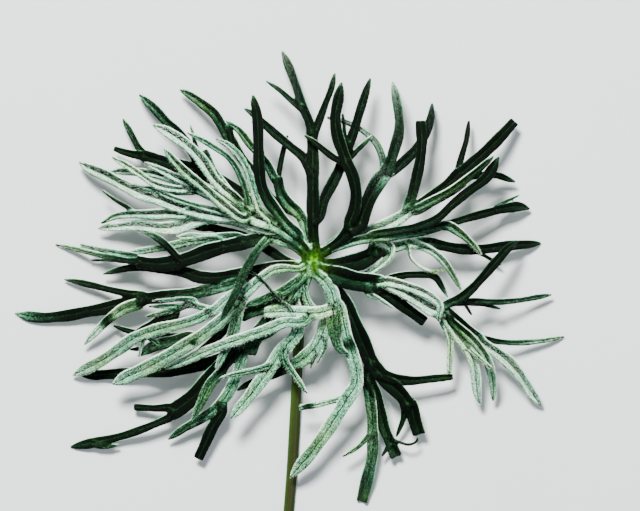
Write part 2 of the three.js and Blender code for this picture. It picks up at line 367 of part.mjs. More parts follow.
  ["upper_left_dark", "upper_left", [2.6, 3.2, 3], [11.5, 7], 0, "fork",
    [[-13, 13.2], [-16.5, 15.7], [-20, 17.7], [-23, 19.2], [-26, 20.6], [-29, 21.2], [-33, 22.2],
      [-37, 23.4]]],
  ["upper_left_dark_up", "upper_left_dark", [2.1, 1.8, 1.5], [5, 2], 0, "point",
    [[-36.5, 23.5], [-38.3, 25.2], [-39.8, 27.8], [-41, 30], [-41.9, 31.6]]],
  ["upper_left_dark_out", "upper_left_dark", [2.5, 1.9, 1.3], [6, 4.5], 0, "blunt",
    [[-37, 23.4], [-39.5, 23.9], [-41.5, 24.4], [-43.7, 25.1]]],
  ["upper_left_rising", "upper_left_dark", [2.3, 2.3, 2.1], [9, 3], 0, "point",
    [[-24.5, 20], [-25.8, 23], [-27.5, 26], [-30, 29.2], [-32.5, 31.3], [-35, 34], [-38.2, 37.1]]],
  ["upper_left_rising_tooth", "upper_left_rising", [1.4, 1.3, 1.1], [9.5, 9], 0, "point",
    [[-25.5, 24], [-26, 27], [-26.8, 30.2]]],
  ["upper_left_ribbon", "upper_left", [2.2, 2.1, 1.8], [20.5, 15], 25, "point",
    [[-9, 9], [-11.5, 11.4], [-12.7, 14.7], [-13.6, 17.8], [-14.7, 20.7], [-16.4, 23.3],
      [-18.7, 25.6], [-21.1, 27.1]]],
  ["upper_left_ribbon_side", "upper_left_ribbon", [1.5, 1.5, 1.3], [18, 13], 0, "point",
    [[-13.8, 12], [-14.4, 14.7], [-15.3, 17.8], [-16.7, 20.9], [-18.7, 23.3], [-21.3, 25.1],
      [-24.4, 27], [-27.4, 28.6]]],
  ["upper_left_standing", "upper_left", [2.6, 2.7, 2.4], [25, 18.5], 0, "point",
    [[-3, 5.8], [-5.5, 8.5], [-8, 11.5], [-10, 14.2], [-11.3, 17.5], [-11.6, 21], [-11.7, 25],
      [-11.9, 29], [-12.2, 32.5], [-13, 36.7]]],

  // The ray between the upper left fan and the top ray.
  ["top_inner", "hub", [1.5, 2.8, 2.5], [18, 17], 0, "fork",
    [[-0.2, 3], [-1.2, 6], [-1.6, 8.5], [-2.8, 10.8], [-5.5, 13.2], [-7, 15.5], [-7.7, 18.5]]],
  ["top_inner_right", "top_inner", [1.5, 1.4, 1.3], [14, 11], 0, "point",
    [[-7.4, 19], [-6.8, 22.5], [-6.2, 25.3], [-5.4, 27.9]]],
  ["top_inner_left", "top_inner", [2, 2, 1.7], [15.5, 13], 0, "point",
    [[-8, 18], [-9.6, 21.3], [-11.5, 23.5], [-13.8, 26], [-16, 29], [-18.8, 31.2]]],
  ["top_inner_long", "top_inner", [1.8, 2.6, 2.2], [14.5, 4], 0, "point",
    [[-2.6, 10.2], [-5, 11.4], [-8.7, 13.6], [-11, 16.5], [-12.8, 19.5], [-15.3, 22.8],
      [-17.8, 26.5], [-19.8, 29.8], [-21.8, 33], [-24.5, 35.3], [-27, 37], [-29.2, 38.2]]],
  ["top_inner_long_tooth", "top_inner_long", [1.8, 1.7, 1.6], [13.5, 13.5], 0, "blunt",
    [[-17.5, 26.5], [-18.6, 30.2]]],
];

const wasm = await Module();
wasm.setup();

function solidFrom(geometry) {
  geometry.deleteAttribute("normal");
  geometry.deleteAttribute("uv");
  const merged = mergeVertices(geometry, 1e-4);
  return new wasm.Manifold(
    new wasm.Mesh({
      numProp: 3,
      vertProperties: merged.attributes.position.array,
      triVerts: new Uint32Array(merged.index.array),
    }),
  );
}

function geometryFrom(solid) {
  const mesh = solid.getMesh();
  const geometry = new THREE.BufferGeometry();
  geometry.setAttribute("position", new THREE.BufferAttribute(mesh.vertProperties, 3));
  geometry.setIndex(new THREE.BufferAttribute(mesh.triVerts, 1));
  geometry.computeVertexNormals();
  return geometry;
}

// A smooth run through three values, at the start, the middle and the end.
function between([start, middle, end], share) {
  return (
    start * (2 * share - 1) * (share - 1) +
    middle * 4 * share * (1 - share) +
    end * share * (2 * share - 1)
  );
}

// The middle line of each lobe, as points a short step apart.
const lines = new Map();

// The place on a line that is nearest to a point, stepped back by the distance between them, so
// that a lobe leaves what carries it at a slant.
function leavingPlace(line, [x, y]) {
  const flat = (point) => Math.hypot(point.x - x, point.y - y);
  const nearest = line.reduce((best, point) => (flat(point) < flat(best) ? point : best));
  const stepLength = line[0].distanceTo(line[line.length - 1]) / line.length;
  const back = Math.round((0.8 * flat(nearest)) / Math.max(stepLength, 0.05));
  return line[Math.max(0, line.indexOf(nearest) - back)];
}

function middleLine(from, heights, points) {
  const start =
    from === "hub"
      ? new THREE.Vector3(0.3 * points[0][0], 0.3 * points[0][1], HUB_HEIGHT - 0.3)
      : leavingPlace(lines.get(from), points[0]);
  const flat = [new THREE.Vector3(start.x, start.y, 0)];
  for (const [x, y] of points) {
    const next = new THREE.Vector3(x, y, 0);
    if (flat.length > 1 || next.distanceTo(flat[0]) > 0.5) flat.push(next);
  }
  const curve = new THREE.CatmullRomCurve3(flat, false, "centripetal");
  return curve.getSpacedPoints(CURVE_SAMPLES).map((point, i) => {
    point.z = between([start.z, ...heights], i / CURVE_SAMPLES);
    return point;
  });
}

// The places between two others that a faceted lobe needs, so that no side strays from its curve.
function placesBetween(line, first, last) {
  const chord = new THREE.Line3(line[first], line[last]);
  const foot = new THREE.Vector3();
  const strays = (i) => chord.closestPointToPoint(line[i], true, foot).distanceTo(line[i]);
  let split = -1;
  for (let i = first + 1; i < last; i++)
    if (strays(i) > (split < 0 ? CURVE_TOLERANCE : strays(split))) split = i;
  if (split < 0 && chord.distance() > LONGEST_STEP) split = Math.round((first + last) / 2);
  if (split < 0) return [];
  return [...placesBetween(line, first, split), split, ...placesBetween(line, split, last)];
}

// A lobe cut across, anticlockwise as seen from its start.
function crossSection(width) {
  const half = width / 2;
  const top = BLADE_THICKNESS / 2;
  return [[half, top], [-half, top], [-half, -top], [half, -top]];
}

// One lobe, swept along its middle line as a closed solid.
function lobeSolid(line, widths, roll, ending) {
  const length = line.slice(1).reduce((sum, point, i) => sum + point.distanceTo(line[i]), 0);
  const taper = { point: Math.min(TAPER, 0.5 * length), blunt: BLUNT_TAPER, fork: 0.5 }[ending];
  const endWidth = { point: TIP_WIDTH, blunt: BLUNT_SHARE * widths[2], fork: widths[2] }[ending];
  const taperFrom = Math.round(CURVE_SAMPLES * (1 - taper / length));
  const places = [
    0,
    ...placesBetween(line, 0, taperFrom),
    taperFrom,
    ...placesBetween(line, taperFrom, CURVE_SAMPLES),
    CURVE_SAMPLES,
  ];
  const forward = new THREE.Vector3();
  const side = new THREE.Vector3();
  const up = new THREE.Vector3();
  const positions = [];
  for (const i of places) {
    const narrowing = Math.max(0, (i - taperFrom) / (CURVE_SAMPLES - taperFrom));
    const width = between(widths, Math.min(i / taperFrom, 1));
    forward.subVectors(line[Math.min(i + 1, CURVE_SAMPLES)], line[Math.max(i - 1, 0)]).normalize();
    side.crossVectors(forward, new THREE.Vector3(0, 0, 1)).normalize();
    side.applyAxisAngle(forward, THREE.MathUtils.degToRad(roll) * Math.min(1, (3 * i) / CURVE_SAMPLES));
    up.crossVectors(side, forward);
    const outline = crossSection(THREE.MathUtils.lerp(width, endWidth, narrowing));
    for (const [across, rise] of outline)
      positions.push(...line[i].clone().addScaledVector(side, across).addScaledVector(up, rise));
  }
  const sides = positions.length / 3 / places.length;
  const last = (places.length - 1) * sides;
  const faces = [];
  for (let ring = 0; ring < last; ring += sides)
    for (let i = 0; i < sides; i++) {
      const [a, b] = [ring + i, ring + ((i + 1) % sides)];
      faces.push(a, a + sides, b + sides, a, b + sides, b);
    }
  for (let i = 1; i + 1 < sides; i++) faces.push(0, i, i + 1, last, last + i + 1, last + i);
  const geometry = new THREE.BufferGeometry();
  geometry.setAttribute("position", new THREE.Float32BufferAttribute(positions, 3));
  geometry.setIndex(faces);
  return solidFrom(geometry);
}

function hubSolid() {
  const pad = new THREE.SphereGeometry(1, 12, 8).rotateX(Math.PI / 2);
  return solidFrom(pad.scale(...HUB_RADIUS).translate(...HUB_CENTRE));
}

// The stalk with its neck, cut through where its colour changes: the neck first, then the stalk.
function stalkSolids() {
  const corners = Array.from({ length: STALK_SIDES }, (_, i) => {
    const angle = (2 * Math.PI * i) / STALK_SIDES;
    return new THREE.Vector2(STALK_RADIUS * Math.cos(angle), STALK_RADIUS * Math.sin(angle));
  });
  const route = [...NECK_ROUTE, ...STALK_ROUTE].map((point) => new THREE.Vector3(...point));
  const path = new THREE.CatmullRomCurve3(route, false, "centripetal");
  const whole = solidFrom(
    new THREE.ExtrudeGeometry(new THREE.Shape(corners), {
      steps: STALK_STEPS,
      extrudePath: path,
    }),
  );
  const joint = NECK_ROUTE.length - 1;
  const slab = new THREE.Object3D();
  slab.position.copy(route[joint]);
  slab.lookAt(route[joint + 1]);
  slab.updateMatrix();
  const cut = new THREE.BoxGeometry(4 * STALK_RADIUS, 4 * STALK_RADIUS, JOIN_GAP);
  const pieces = whole.subtract(solidFrom(cut.applyMatrix4(slab.matrix))).decompose();
  return pieces.sort((a, b) => b.boundingBox().max[2] - a.boundingBox().max[2]);
}

// Everything below the surface, which the lowest tips and the stalk are flattened against.
function belowSurface() {
  return solidFrom(new THREE.BoxGeometry(400, 400, 20).translate(0, 0, -10));
}

function bladeSolid(neck) {
  const lobes = LOBES.map(([name, from, widths, heights, roll, ending, points]) => {
    lines.set(name, middleLine(from, heights, points));
    return lobeSolid(lines.get(name), widths, roll, ending);
  });
  const grown = lobes.reduce((whole, lobe) => whole.add(lobe), hubSolid().add(neck));
  const bodies = grown.subtract(belowSurface()).decompose();
  return bodies.reduce((largest, body) => (body.volume() > largest.volume() ? body : largest));
}

function leafMesh(name, solid, color, roughness) {
  const material = new THREE.MeshStandardMaterial({ color, roughness, metalness: 0 });
  const mesh = new THREE.Mesh(geometryFrom(solid), material);
  mesh.name = name;
  return mesh;
}

const [neck, stalk] = stalkSolids();
const leaf = new THREE.Group();
leaf.add(leafMesh("leaf_blade", bladeSolid(neck), "#86a184", 0.8));
leaf.add(leafMesh("petiole", stalk.subtract(belowSurface()), "#6f7038", 0.6));
leaf.position.set(-BOX_MIDDLE[0], -BOX_MIDDLE[1], 0);

const part = new THREE.Group();
part.add(leaf);
export default part;
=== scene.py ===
# %% [markdown]
# # A picked delphinium leaf
# One leaf of a delphinium, laid down on a table with its upper side up. The blade is cut to its
# middle into rays, and each ray forks again and again into narrow lobes with a silvery down on them.
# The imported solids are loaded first: they say where the leaf lies and how large it is. Everything
# made below is put over them, in metres, and their coarse faces are then hidden.

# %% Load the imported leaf
from math import radians

import bpy
import numpy as np
import openvdb
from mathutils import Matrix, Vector


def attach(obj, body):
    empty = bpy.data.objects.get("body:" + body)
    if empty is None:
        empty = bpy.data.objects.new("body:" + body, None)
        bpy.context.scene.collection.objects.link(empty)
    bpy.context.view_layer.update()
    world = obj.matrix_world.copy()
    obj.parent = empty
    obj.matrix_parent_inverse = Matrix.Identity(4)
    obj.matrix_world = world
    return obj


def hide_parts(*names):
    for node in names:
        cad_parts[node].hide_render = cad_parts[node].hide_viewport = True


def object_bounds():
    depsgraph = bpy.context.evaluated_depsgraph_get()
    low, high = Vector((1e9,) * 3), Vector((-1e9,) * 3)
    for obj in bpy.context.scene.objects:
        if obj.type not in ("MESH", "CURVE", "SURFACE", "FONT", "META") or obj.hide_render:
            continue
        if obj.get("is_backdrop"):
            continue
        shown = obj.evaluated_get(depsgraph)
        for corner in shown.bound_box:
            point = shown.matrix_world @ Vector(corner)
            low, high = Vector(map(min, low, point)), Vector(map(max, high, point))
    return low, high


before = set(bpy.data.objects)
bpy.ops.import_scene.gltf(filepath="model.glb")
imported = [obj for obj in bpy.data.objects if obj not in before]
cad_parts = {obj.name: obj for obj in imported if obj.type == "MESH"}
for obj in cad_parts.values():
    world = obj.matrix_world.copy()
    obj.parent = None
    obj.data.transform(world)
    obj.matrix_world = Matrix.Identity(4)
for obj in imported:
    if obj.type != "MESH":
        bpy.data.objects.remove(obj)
packed_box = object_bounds()
print("packed nodes:", sorted(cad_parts))
print("packed size, mm:", [round(1000 * s, 1) for s in packed_box[1] - packed_box[0]])

# %% [markdown]
# ## The camera
# The picture was taken along the leaf's own axis, so with the leaf lying on a table the camera
# looks straight down. A long lens from three metres keeps high and low lobes at one scale. The
# lobes are measured from the hub, the point where all the rays meet.

# %% Place the camera
MM = 0.001
HUB = Vector((4.955, 25.568, 0)) * MM  # the hub on the table, in the part's own frame
HUB_HEIGHT = 17.0  # mm above the table
VIEW_CENTRE = (1.78, 1.44)  # mm from the hub, at the middle of the picture
VIEW_WIDTH = 142.2  # mm across the picture
CAMERA_DISTANCE = 3.0  # metres
CAMERA_REACH = 20  # metres
SENSOR = 36.0  # mm

camera_data = bpy.data.cameras.new("camera")
camera_data.sensor_width = SENSOR
camera_data.lens = SENSOR * CAMERA_DISTANCE / (VIEW_WIDTH * MM)
camera_data.clip_end = CAMERA_REACH
camera = bpy.data.objects.new("camera", camera_data)
camera.location = HUB + Vector((VIEW_CENTRE[0] * MM, VIEW_CENTRE[1] * MM, CAMERA_DISTANCE))
bpy.context.collection.objects.link(camera)
bpy.context.scene.camera = camera
print("lens, mm:", round(camera_data.lens))

# %% [markdown]
# ## Nodes that read like sums
# Every finish here is a small network of shader nodes. Wired one by one, even a short formula takes
# a page. So each node's output is kept as a reading that adds and multiplies as a number does, and
# the sum makes the nodes. A finish can then be read, and changed, as a formula.

# %% A reading, and the node that gives it
class Reading:
    """A number or a colour inside a shader."""

    def __init__(self, socket):
        self.socket = socket

    def __add__(self, other):
        return maths("ADD", self, other)

    def __sub__(self, other):
        return maths("SUBTRACT", self, other)

    def __mul__(self, other):
        return maths("MULTIPLY", self, other)

    def __truediv__(self, other):
        return maths("DIVIDE", self, other)

    def __pow__(self, other):
        return maths("POWER", self, other)


def node(tree, kind, sockets, output=0, **settings):
    """Adds a node with these settings, and with a value or a reading on each named socket."""
    made = tree.nodes.new(kind)
    for name, value in settings.items():
        setattr(made, name, value)
    for name, value in sockets.items():
        if isinstance(value, Reading):
            tree.links.new(value.socket, made.inputs[name])
        else:
            made.inputs[name].default_value = value
    return Reading(made.outputs[output])


def tree_of(*values):
    """The shader that the first reading among the values belongs to."""
    return next(value.socket.id_data for value in values if isinstance(value, Reading))


def maths(operation, first, second=0.0, clamp=False):
    sockets = {0: first, 1: second}
    tree = tree_of(first, second)
    return node(tree, "ShaderNodeMath", sockets, operation=operation, use_clamp=clamp)


def spread(value, low, high, at_low=0.0, at_high=1.0):
    """Goes from at_low to at_high while the value goes from low to high."""
    sockets = {0: value, 1: low, 2: high, 3: at_low, 4: at_high}
    return node(tree_of(value), "ShaderNodeMapRange", sockets)


def measured(tree, name):
    """A number that each point of the mesh carries."""
    return node(tree, "ShaderNodeAttribute", {}, output="Fac", attribute_name=name)


def grain(tree, size, detail=2.0, roughness=0.5):
    """Noise whose patches are about size millimetres across."""
    where = node(tree, "ShaderNodeTexCoord", {}, output="Object")
    sockets = {"Vector": where, "Scale": 1 / (size * MM), "Detail": detail, "Roughness": roughness}
    return node(tree, "ShaderNodeTexNoise", sockets)


# %% Colours and surfaces
def colour(code):
    """A web colour as the linear values that a shader takes."""
    parts = [int(code[i : i + 2], 16) / 255 for i in (1, 3, 5)]
    return [p / 12.92 if p < 0.04045 else ((p + 0.055) / 1.055) ** 2.4 for p in parts] + [1]


def mixed(share, first, second):
    """The first colour where share is 0, and the second where it is 1."""
    sockets = {0: share, 6: first, 7: second}
    tree = tree_of(share, first, second)
    return node(tree, "ShaderNodeMix", sockets, output=2, data_type="RGBA")


def ramp(share, stops):
    """Runs through the stops, which are web colours by their place between 0 and 1."""
    made = node(tree_of(share), "ShaderNodeValToRGB", {0: share})
    points = made.socket.node.color_ramp.elements
    while len(points) < len(stops):
        points.new(0.5)
    for point, (place, code) in zip(points, stops.items()):
        point.position = place
        point.color = colour(code)
    return made


def material(name):
    made = bpy.data.materials.new(name)
    made.use_nodes = True
    made.node_tree.nodes.clear()
    return made


def show(tree, **sockets):
    """Puts a principled surface with these sockets on the output."""
    named = {name.replace("_", " "): value for name, value in sockets.items()}
    surface = node(tree, "ShaderNodeBsdfPrincipled", named)
    output = tree.nodes.new("ShaderNodeOutputMaterial")
    tree.links.new(surface.socket, output.inputs["Surface"])
    print("a surface of", len(tree.nodes), "nodes")


# %% [markdown]
# ## The table and the light
# A pale table and a soft light from the top of the picture, as a window or a studio light gives.
# The soft light keeps the shadows of the raised lobes pale, so the leaf's outline stays easy to
# read. Two pale greys in slow patches keep the table from looking like an empty sheet.

# %% Lay the table
TABLE_HALF = 1.5  # metres
TABLE_PALE = "#d9dddf"
TABLE_GREY = "#cfd4d7"
TABLE_PATCH = 40  # mm
TABLE_MIX = 0.5  # how much of the grey shows at the most

table_mesh = bpy.data.meshes.new("table")
corners = [(TABLE_HALF * x, TABLE_HALF * y, 0) for x, y in ((-1, -1), (1, -1), (1, 1), (-1, 1))]
table_mesh.from_pydata(corners, [], [(0, 1, 2, 3)])
table = bpy.data.objects.new("table", table_mesh)
bpy.context.collection.objects.link(table)
table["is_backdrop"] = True

matt = material("matt_table")
tree = matt.node_tree
share = grain(tree, TABLE_PATCH, detail=3) * TABLE_MIX
show(tree, Base_Color=mixed(share, colour(TABLE_PALE), colour(TABLE_GREY)), Roughness=0.85)
table_mesh.materials.append(matt)

# %% Hang the lights
SKY_TINT = (0.86, 0.92, 1.0, 1)
SKY_STRENGTH = 0.4


def hang_light(name, place, size, power, tint):
    """A square light that faces the hub. Place is in metres from the hub and power in watts."""
    data = bpy.data.lights.new(name, "AREA")
    data.size = size
    data.energy = power
    data.color = tint
    lamp = bpy.data.objects.new(name, data)
    lamp.location = HUB + Vector(place)
    lamp.rotation_euler = (-Vector(place)).to_track_quat("-Z", "Y").to_euler()
    bpy.context.collection.objects.link(lamp)


hang_light("key", place=(-0.14, 0.42, 0.9), size=0.2, power=32, tint=(1.0, 0.985, 0.95))
hang_light("fill", place=(0.6, -0.5, 0.9), size=1.0, power=3.5, tint=(0.93, 0.96, 1.0))

sky = bpy.data.worlds.new("studio")
sky.use_nodes = True
background = sky.node_tree.nodes["Background"]
background.inputs["Color"].default_value = SKY_TINT
background.inputs["Strength"].default_value = SKY_STRENGTH
bpy.context.scene.world = sky

# %% [markdown]
# ## The lobes, ray by ray
# A lobe is a narrow strip with a middle line. Each row below gives its name, what it grows from,
# its widths at the start, middle and end, its heights at the middle and end, its roll about its own
# length in degrees, how it ends, how silvery it is from start to end with painted shade in it (0 is
# dark green and 9 is white with down), and the points of its middle line, in millimetres from the
# hub. Low digits are partly bare leaf and partly painted shade where the lobe lay in shade, and a
# low digit inside a pale run paints a band of cast shadow across the lobe.
# The lines are drawn from the picture, because no formula gives the way this leaf grew.

# %% Gather the lobes
LOBES = {}


def plan(part, rows):
    LOBES[part] = LOBES.get(part, []) + rows
    longest = max(len(row[-1]) for row in rows)
    print(part, "has", len(LOBES[part]), "lobes; the longest new line has", longest, "points")


# %% The ray towards the top
plan("top", [
    ["top", "hub", [2.1, 3, 2.6], [20, 17], 0, "fork", "2122",
     [[0.8, 1.5], [0.3, 6], [0.2, 10], [0.3, 15], [0.2, 20], [0.1, 25], [0, 28.5]]],
    ["top_side", "top", [2.3, 2.2, 1.9], [17, 13], 10, "point", "1223",
     [[-0.3, 20], [-1.8, 22.8], [-4.5, 25.2], [-7.5, 27.8], [-10.3, 30.3], [-13.5, 33], [-14.8, 33.8]]],
    ["top_left", "top", [2.3, 2.2, 2], [12, 0.5], -8, "point", "1234",
     [[0, 28.5], [-0.6, 31], [-1.8, 34], [-3.1, 38], [-4.6, 42], [-6.5, 46.6]]],
    ["top_left_tooth", "top_left", [1.8, 1.6, 1.2], [11.5, 10], 0, "point", "234",
     [[-2.3, 34], [-4.5, 35.8], [-7, 38], [-10, 40]]],
    ["top_right", "top", [1.9, 1.8, 1.6], [14, 9], 12, "point", "2223",
     [[0.4, 28], [1.5, 31], [2.9, 35], [4.2, 38.5], [5, 41.6]]],
    ["top_branch", "top", [2.4, 2.6, 2.6], [18, 15.5], 0, "fork", "222",
     [[1.6, 10], [2.8, 14], [4.8, 18], [6.3, 21], [7.5, 23.5]]],
    ["top_branch_long", "top_branch", [2.3, 2.3, 1.9], [14, 9], -10, "point", "1122",
     [[6.3, 21], [8, 25], [9.4, 29], [10.5, 33], [11.8, 37], [12.9, 40.5]]],
    ["top_branch_short", "top_branch", [1.6, 1.5, 1.3], [16, 16], 20, "point", "334",
     [[8.2, 23], [10, 24.8], [11.6, 26.3], [13.2, 27.9]]],
    ["top_branch_tooth", "top_branch_long", [1.2, 1.1, 1], [15, 15], 0, "point", "223",
     [[7.4, 27], [7.1, 30], [6.8, 32.6]]],
])

# %% The ray towards the upper right
plan("top", [
    ["upper_right", "hub", [1.6, 2.3, 4], [19, 20], 0, "fork", "111",
     [[1.8, 1.8], [4, 3.3], [6.3, 5], [8.3, 7], [9.6, 9]]],
    ["upper_right_tall", "upper_right", [2.8, 2.8, 2.6], [22.5, 19], 8, "point", "1112",
     [[8.3, 8.5], [9.4, 11.5], [9.7, 15], [9, 18.5], [7.8, 21.5], [6.5, 25], [5.5, 28.5], [5.1, 32],
      [5.7, 36], [6.5, 39.5]]],
    ["upper_right_tall_side", "upper_right_tall", [1.6, 1.6, 1.5], [21.5, 20.5], 0, "point", "111",
     [[7, 22], [4.8, 23], [2.5, 24.8], [0.5, 26.5], [-1.5, 27.9]]],
    ["upper_right_outer", "upper_right", [3.6, 3.5, 3.6], [20, 17], 0, "fork", "01147",
     [[10, 7.6], [11.5, 11], [13.2, 15], [15, 18.3], [16.5, 20.2]]],
    ["upper_right_curl", "upper_right_outer", [2, 1.9, 1.5], [13.5, 9.5], 50, "point", "46778",
     [[15.7, 19.5], [15.6, 22], [14.8, 24.5], [13.2, 27], [10.8, 29], [8, 30.5], [3.5, 31.9]]],
    ["upper_right_middle", "upper_right_outer", [2.9, 2.5, 2], [14, 7], 0, "point", "3347",
     [[16.8, 20.8], [18, 24.5], [19.2, 28.5], [19.4, 31], [18.9, 35], [17.9, 39.8]]],
    ["upper_right_low", "upper_right_outer", [2.3, 2.4, 2.1], [11.5, 3], -12, "point", "3222",
     [[17.2, 19.6], [20.3, 22.1], [23.1, 25], [25.1, 28.3], [26.4, 31.8], [26.7, 35]]],
])

# %% The ray behind it, which spreads out to the right
plan("right", [
    ["right_upper", "hub", [1.3, 3.1, 2.8], [15.3, 14.5], 0, "fork", "24898",
     [[2.5, 2.5], [7, 5.3], [12, 6.6], [17, 8.4], [20.5, 10.4], [22, 11.8]]],
    ["right_upper_tall", "right_upper", [2.6, 2.6, 2.4], [14.5, 12], 10, "blunt", "5211",
     [[21.2, 12], [22.2, 15], [23.1, 19], [23.9, 23], [24.3, 27], [24, 31]]],
    ["right_upper_middle", "right_upper", [2.4, 2.6, 2.8], [14, 12], 0, "fork", "421",
     [[22.5, 12.1], [26.2, 14.4], [29.8, 16.9], [32.6, 19.6]]],
    ["right_upper_left_tip", "right_upper_middle", [1.7, 1.5, 1.4], [9, 4], 0, "point", "111",
     [[32.3, 20], [33.2, 23.5], [34.2, 27], [34.8, 31.2]]],
    ["right_upper_right_tip", "right_upper_middle", [3, 2.8, 2.5], [9.5, 4.5], 0, "blunt", "1111",
     [[33, 19.6], [36.7, 22.8], [40.6, 26.6], [44.8, 31]]],
    ["right_upper_folded", "right_upper", [1.8, 2.1, 1.8], [15.5, 14.5], 25, "point", "6432",
     [[23, 11.8], [27.5, 14.2], [32, 17], [36.5, 20.3], [40, 23.3]]],
    ["right_upper_short", "right_upper", [1.8, 1.8, 1.6], [12.5, 10.5], 0, "point", "632",
     [[23.5, 11.3], [27, 13.3], [30.5, 15.1], [34, 17]]],
    ["right_upper_hooked", "right_upper_short", [1.7, 1.8, 1.7], [8, 4], -10, "point", "2112",
     [[31, 16.8], [34.5, 18.7], [38, 19.2], [41, 19.2], [45, 17.8]]],
])

# %% The ray to the right
plan("right", [
    ["right", "hub", [1, 2.5, 2.2], [18, 14], 0, "fork", "666544",
     [[1.8, 1.2], [5, 3], [9, 4.4], [13, 5.2], [17, 5.8], [21, 6.4], [25, 7.1], [29.5, 8.1]]],
    ["right_rising", "right", [2, 2.1, 2.5], [17.5, 12], -15, "point", "3211",
     [[13, 5.9], [18, 6.7], [23, 7.7], [27.6, 9.5], [31, 12.5], [34.6, 15.5], [38.7, 18.8],
      [41.3, 23.1]]],
    ["right_far", "right", [1.9, 2, 2.5], [8.5, 2], 0, "point", "3112",
     [[29.7, 8.3], [33.2, 9.3], [38.2, 10.8], [42.2, 11.8], [46, 12.3], [48.2, 11.8]]],
    ["right_far_tooth", "right_far", [1, 0.9, 0.8], [5.5, 5], 0, "point", "334",
     [[40.5, 12], [43, 13.4], [45.8, 14.8]]],
    ["right_falling", "right", [2.2, 2.2, 1.7], [13.5, 11.5], 10, "point", "4556",
     [[30, 8.1], [32.5, 6.8], [34.8, 4.8], [37.4, 1.8]]],
])

# %% The broad dark ray below it
plan("right", [
    ["right_lower", "hub", [1.4, 4, 2.7], [15, 14], 0, "fork", "1111",
     [[1.5, -0.3], [4.3, -0.6], [7.5, -0.4], [10.3, 0.1], [12.4, 1.1], [14.8, 2.6], [17.4, 3.6]]],
    ["right_lower_hook", "right_lower", [2.2, 2.4, 1.9], [14.5, 11.5], 15, "point", "36899998",
     [[13.6, 4], [16, 4.3], [17.5, 3.3], [17.3, 1.3], [15.5, -0.5], [12.9, -2.2], [10.6, -3.1]]],
    ["right_lower_long", "right_lower", [2.6, 2.6, 2.3], [9.5, 0.5], 0, "point", "7811111",
     [[18.5, 3.4], [21, 4], [25, 4.3], [28.5, 3.7], [33, 3], [38, 2.9], [44, 3.6], [50.7, 4.2]]],
    ["right_lower_tooth", "right_lower_long", [1.4, 1.2, 1], [5, 3.5], 0, "point", "111",
     [[35.5, 2.5], [38.5, 1.3], [41.8, -0.6]]],
    ["right_lower_slant", "right_lower_long", [2.2, 2, 1.6], [11.5, 8], 12, "point", "88767",
     [[21.5, 4], [25, 3.3], [28, 1.5], [30, -0.9], [31.6, -3.5], [33, -6]]],
    ["right_lower_arc", "right_lower_long", [1, 1, 0.9], [14.5, 13.5], 60, "point", "7886",
     [[21.3, 3.3], [22, 1], [23.8, -0.8], [26.2, -1.9], [28.7, -1.9]]],
])

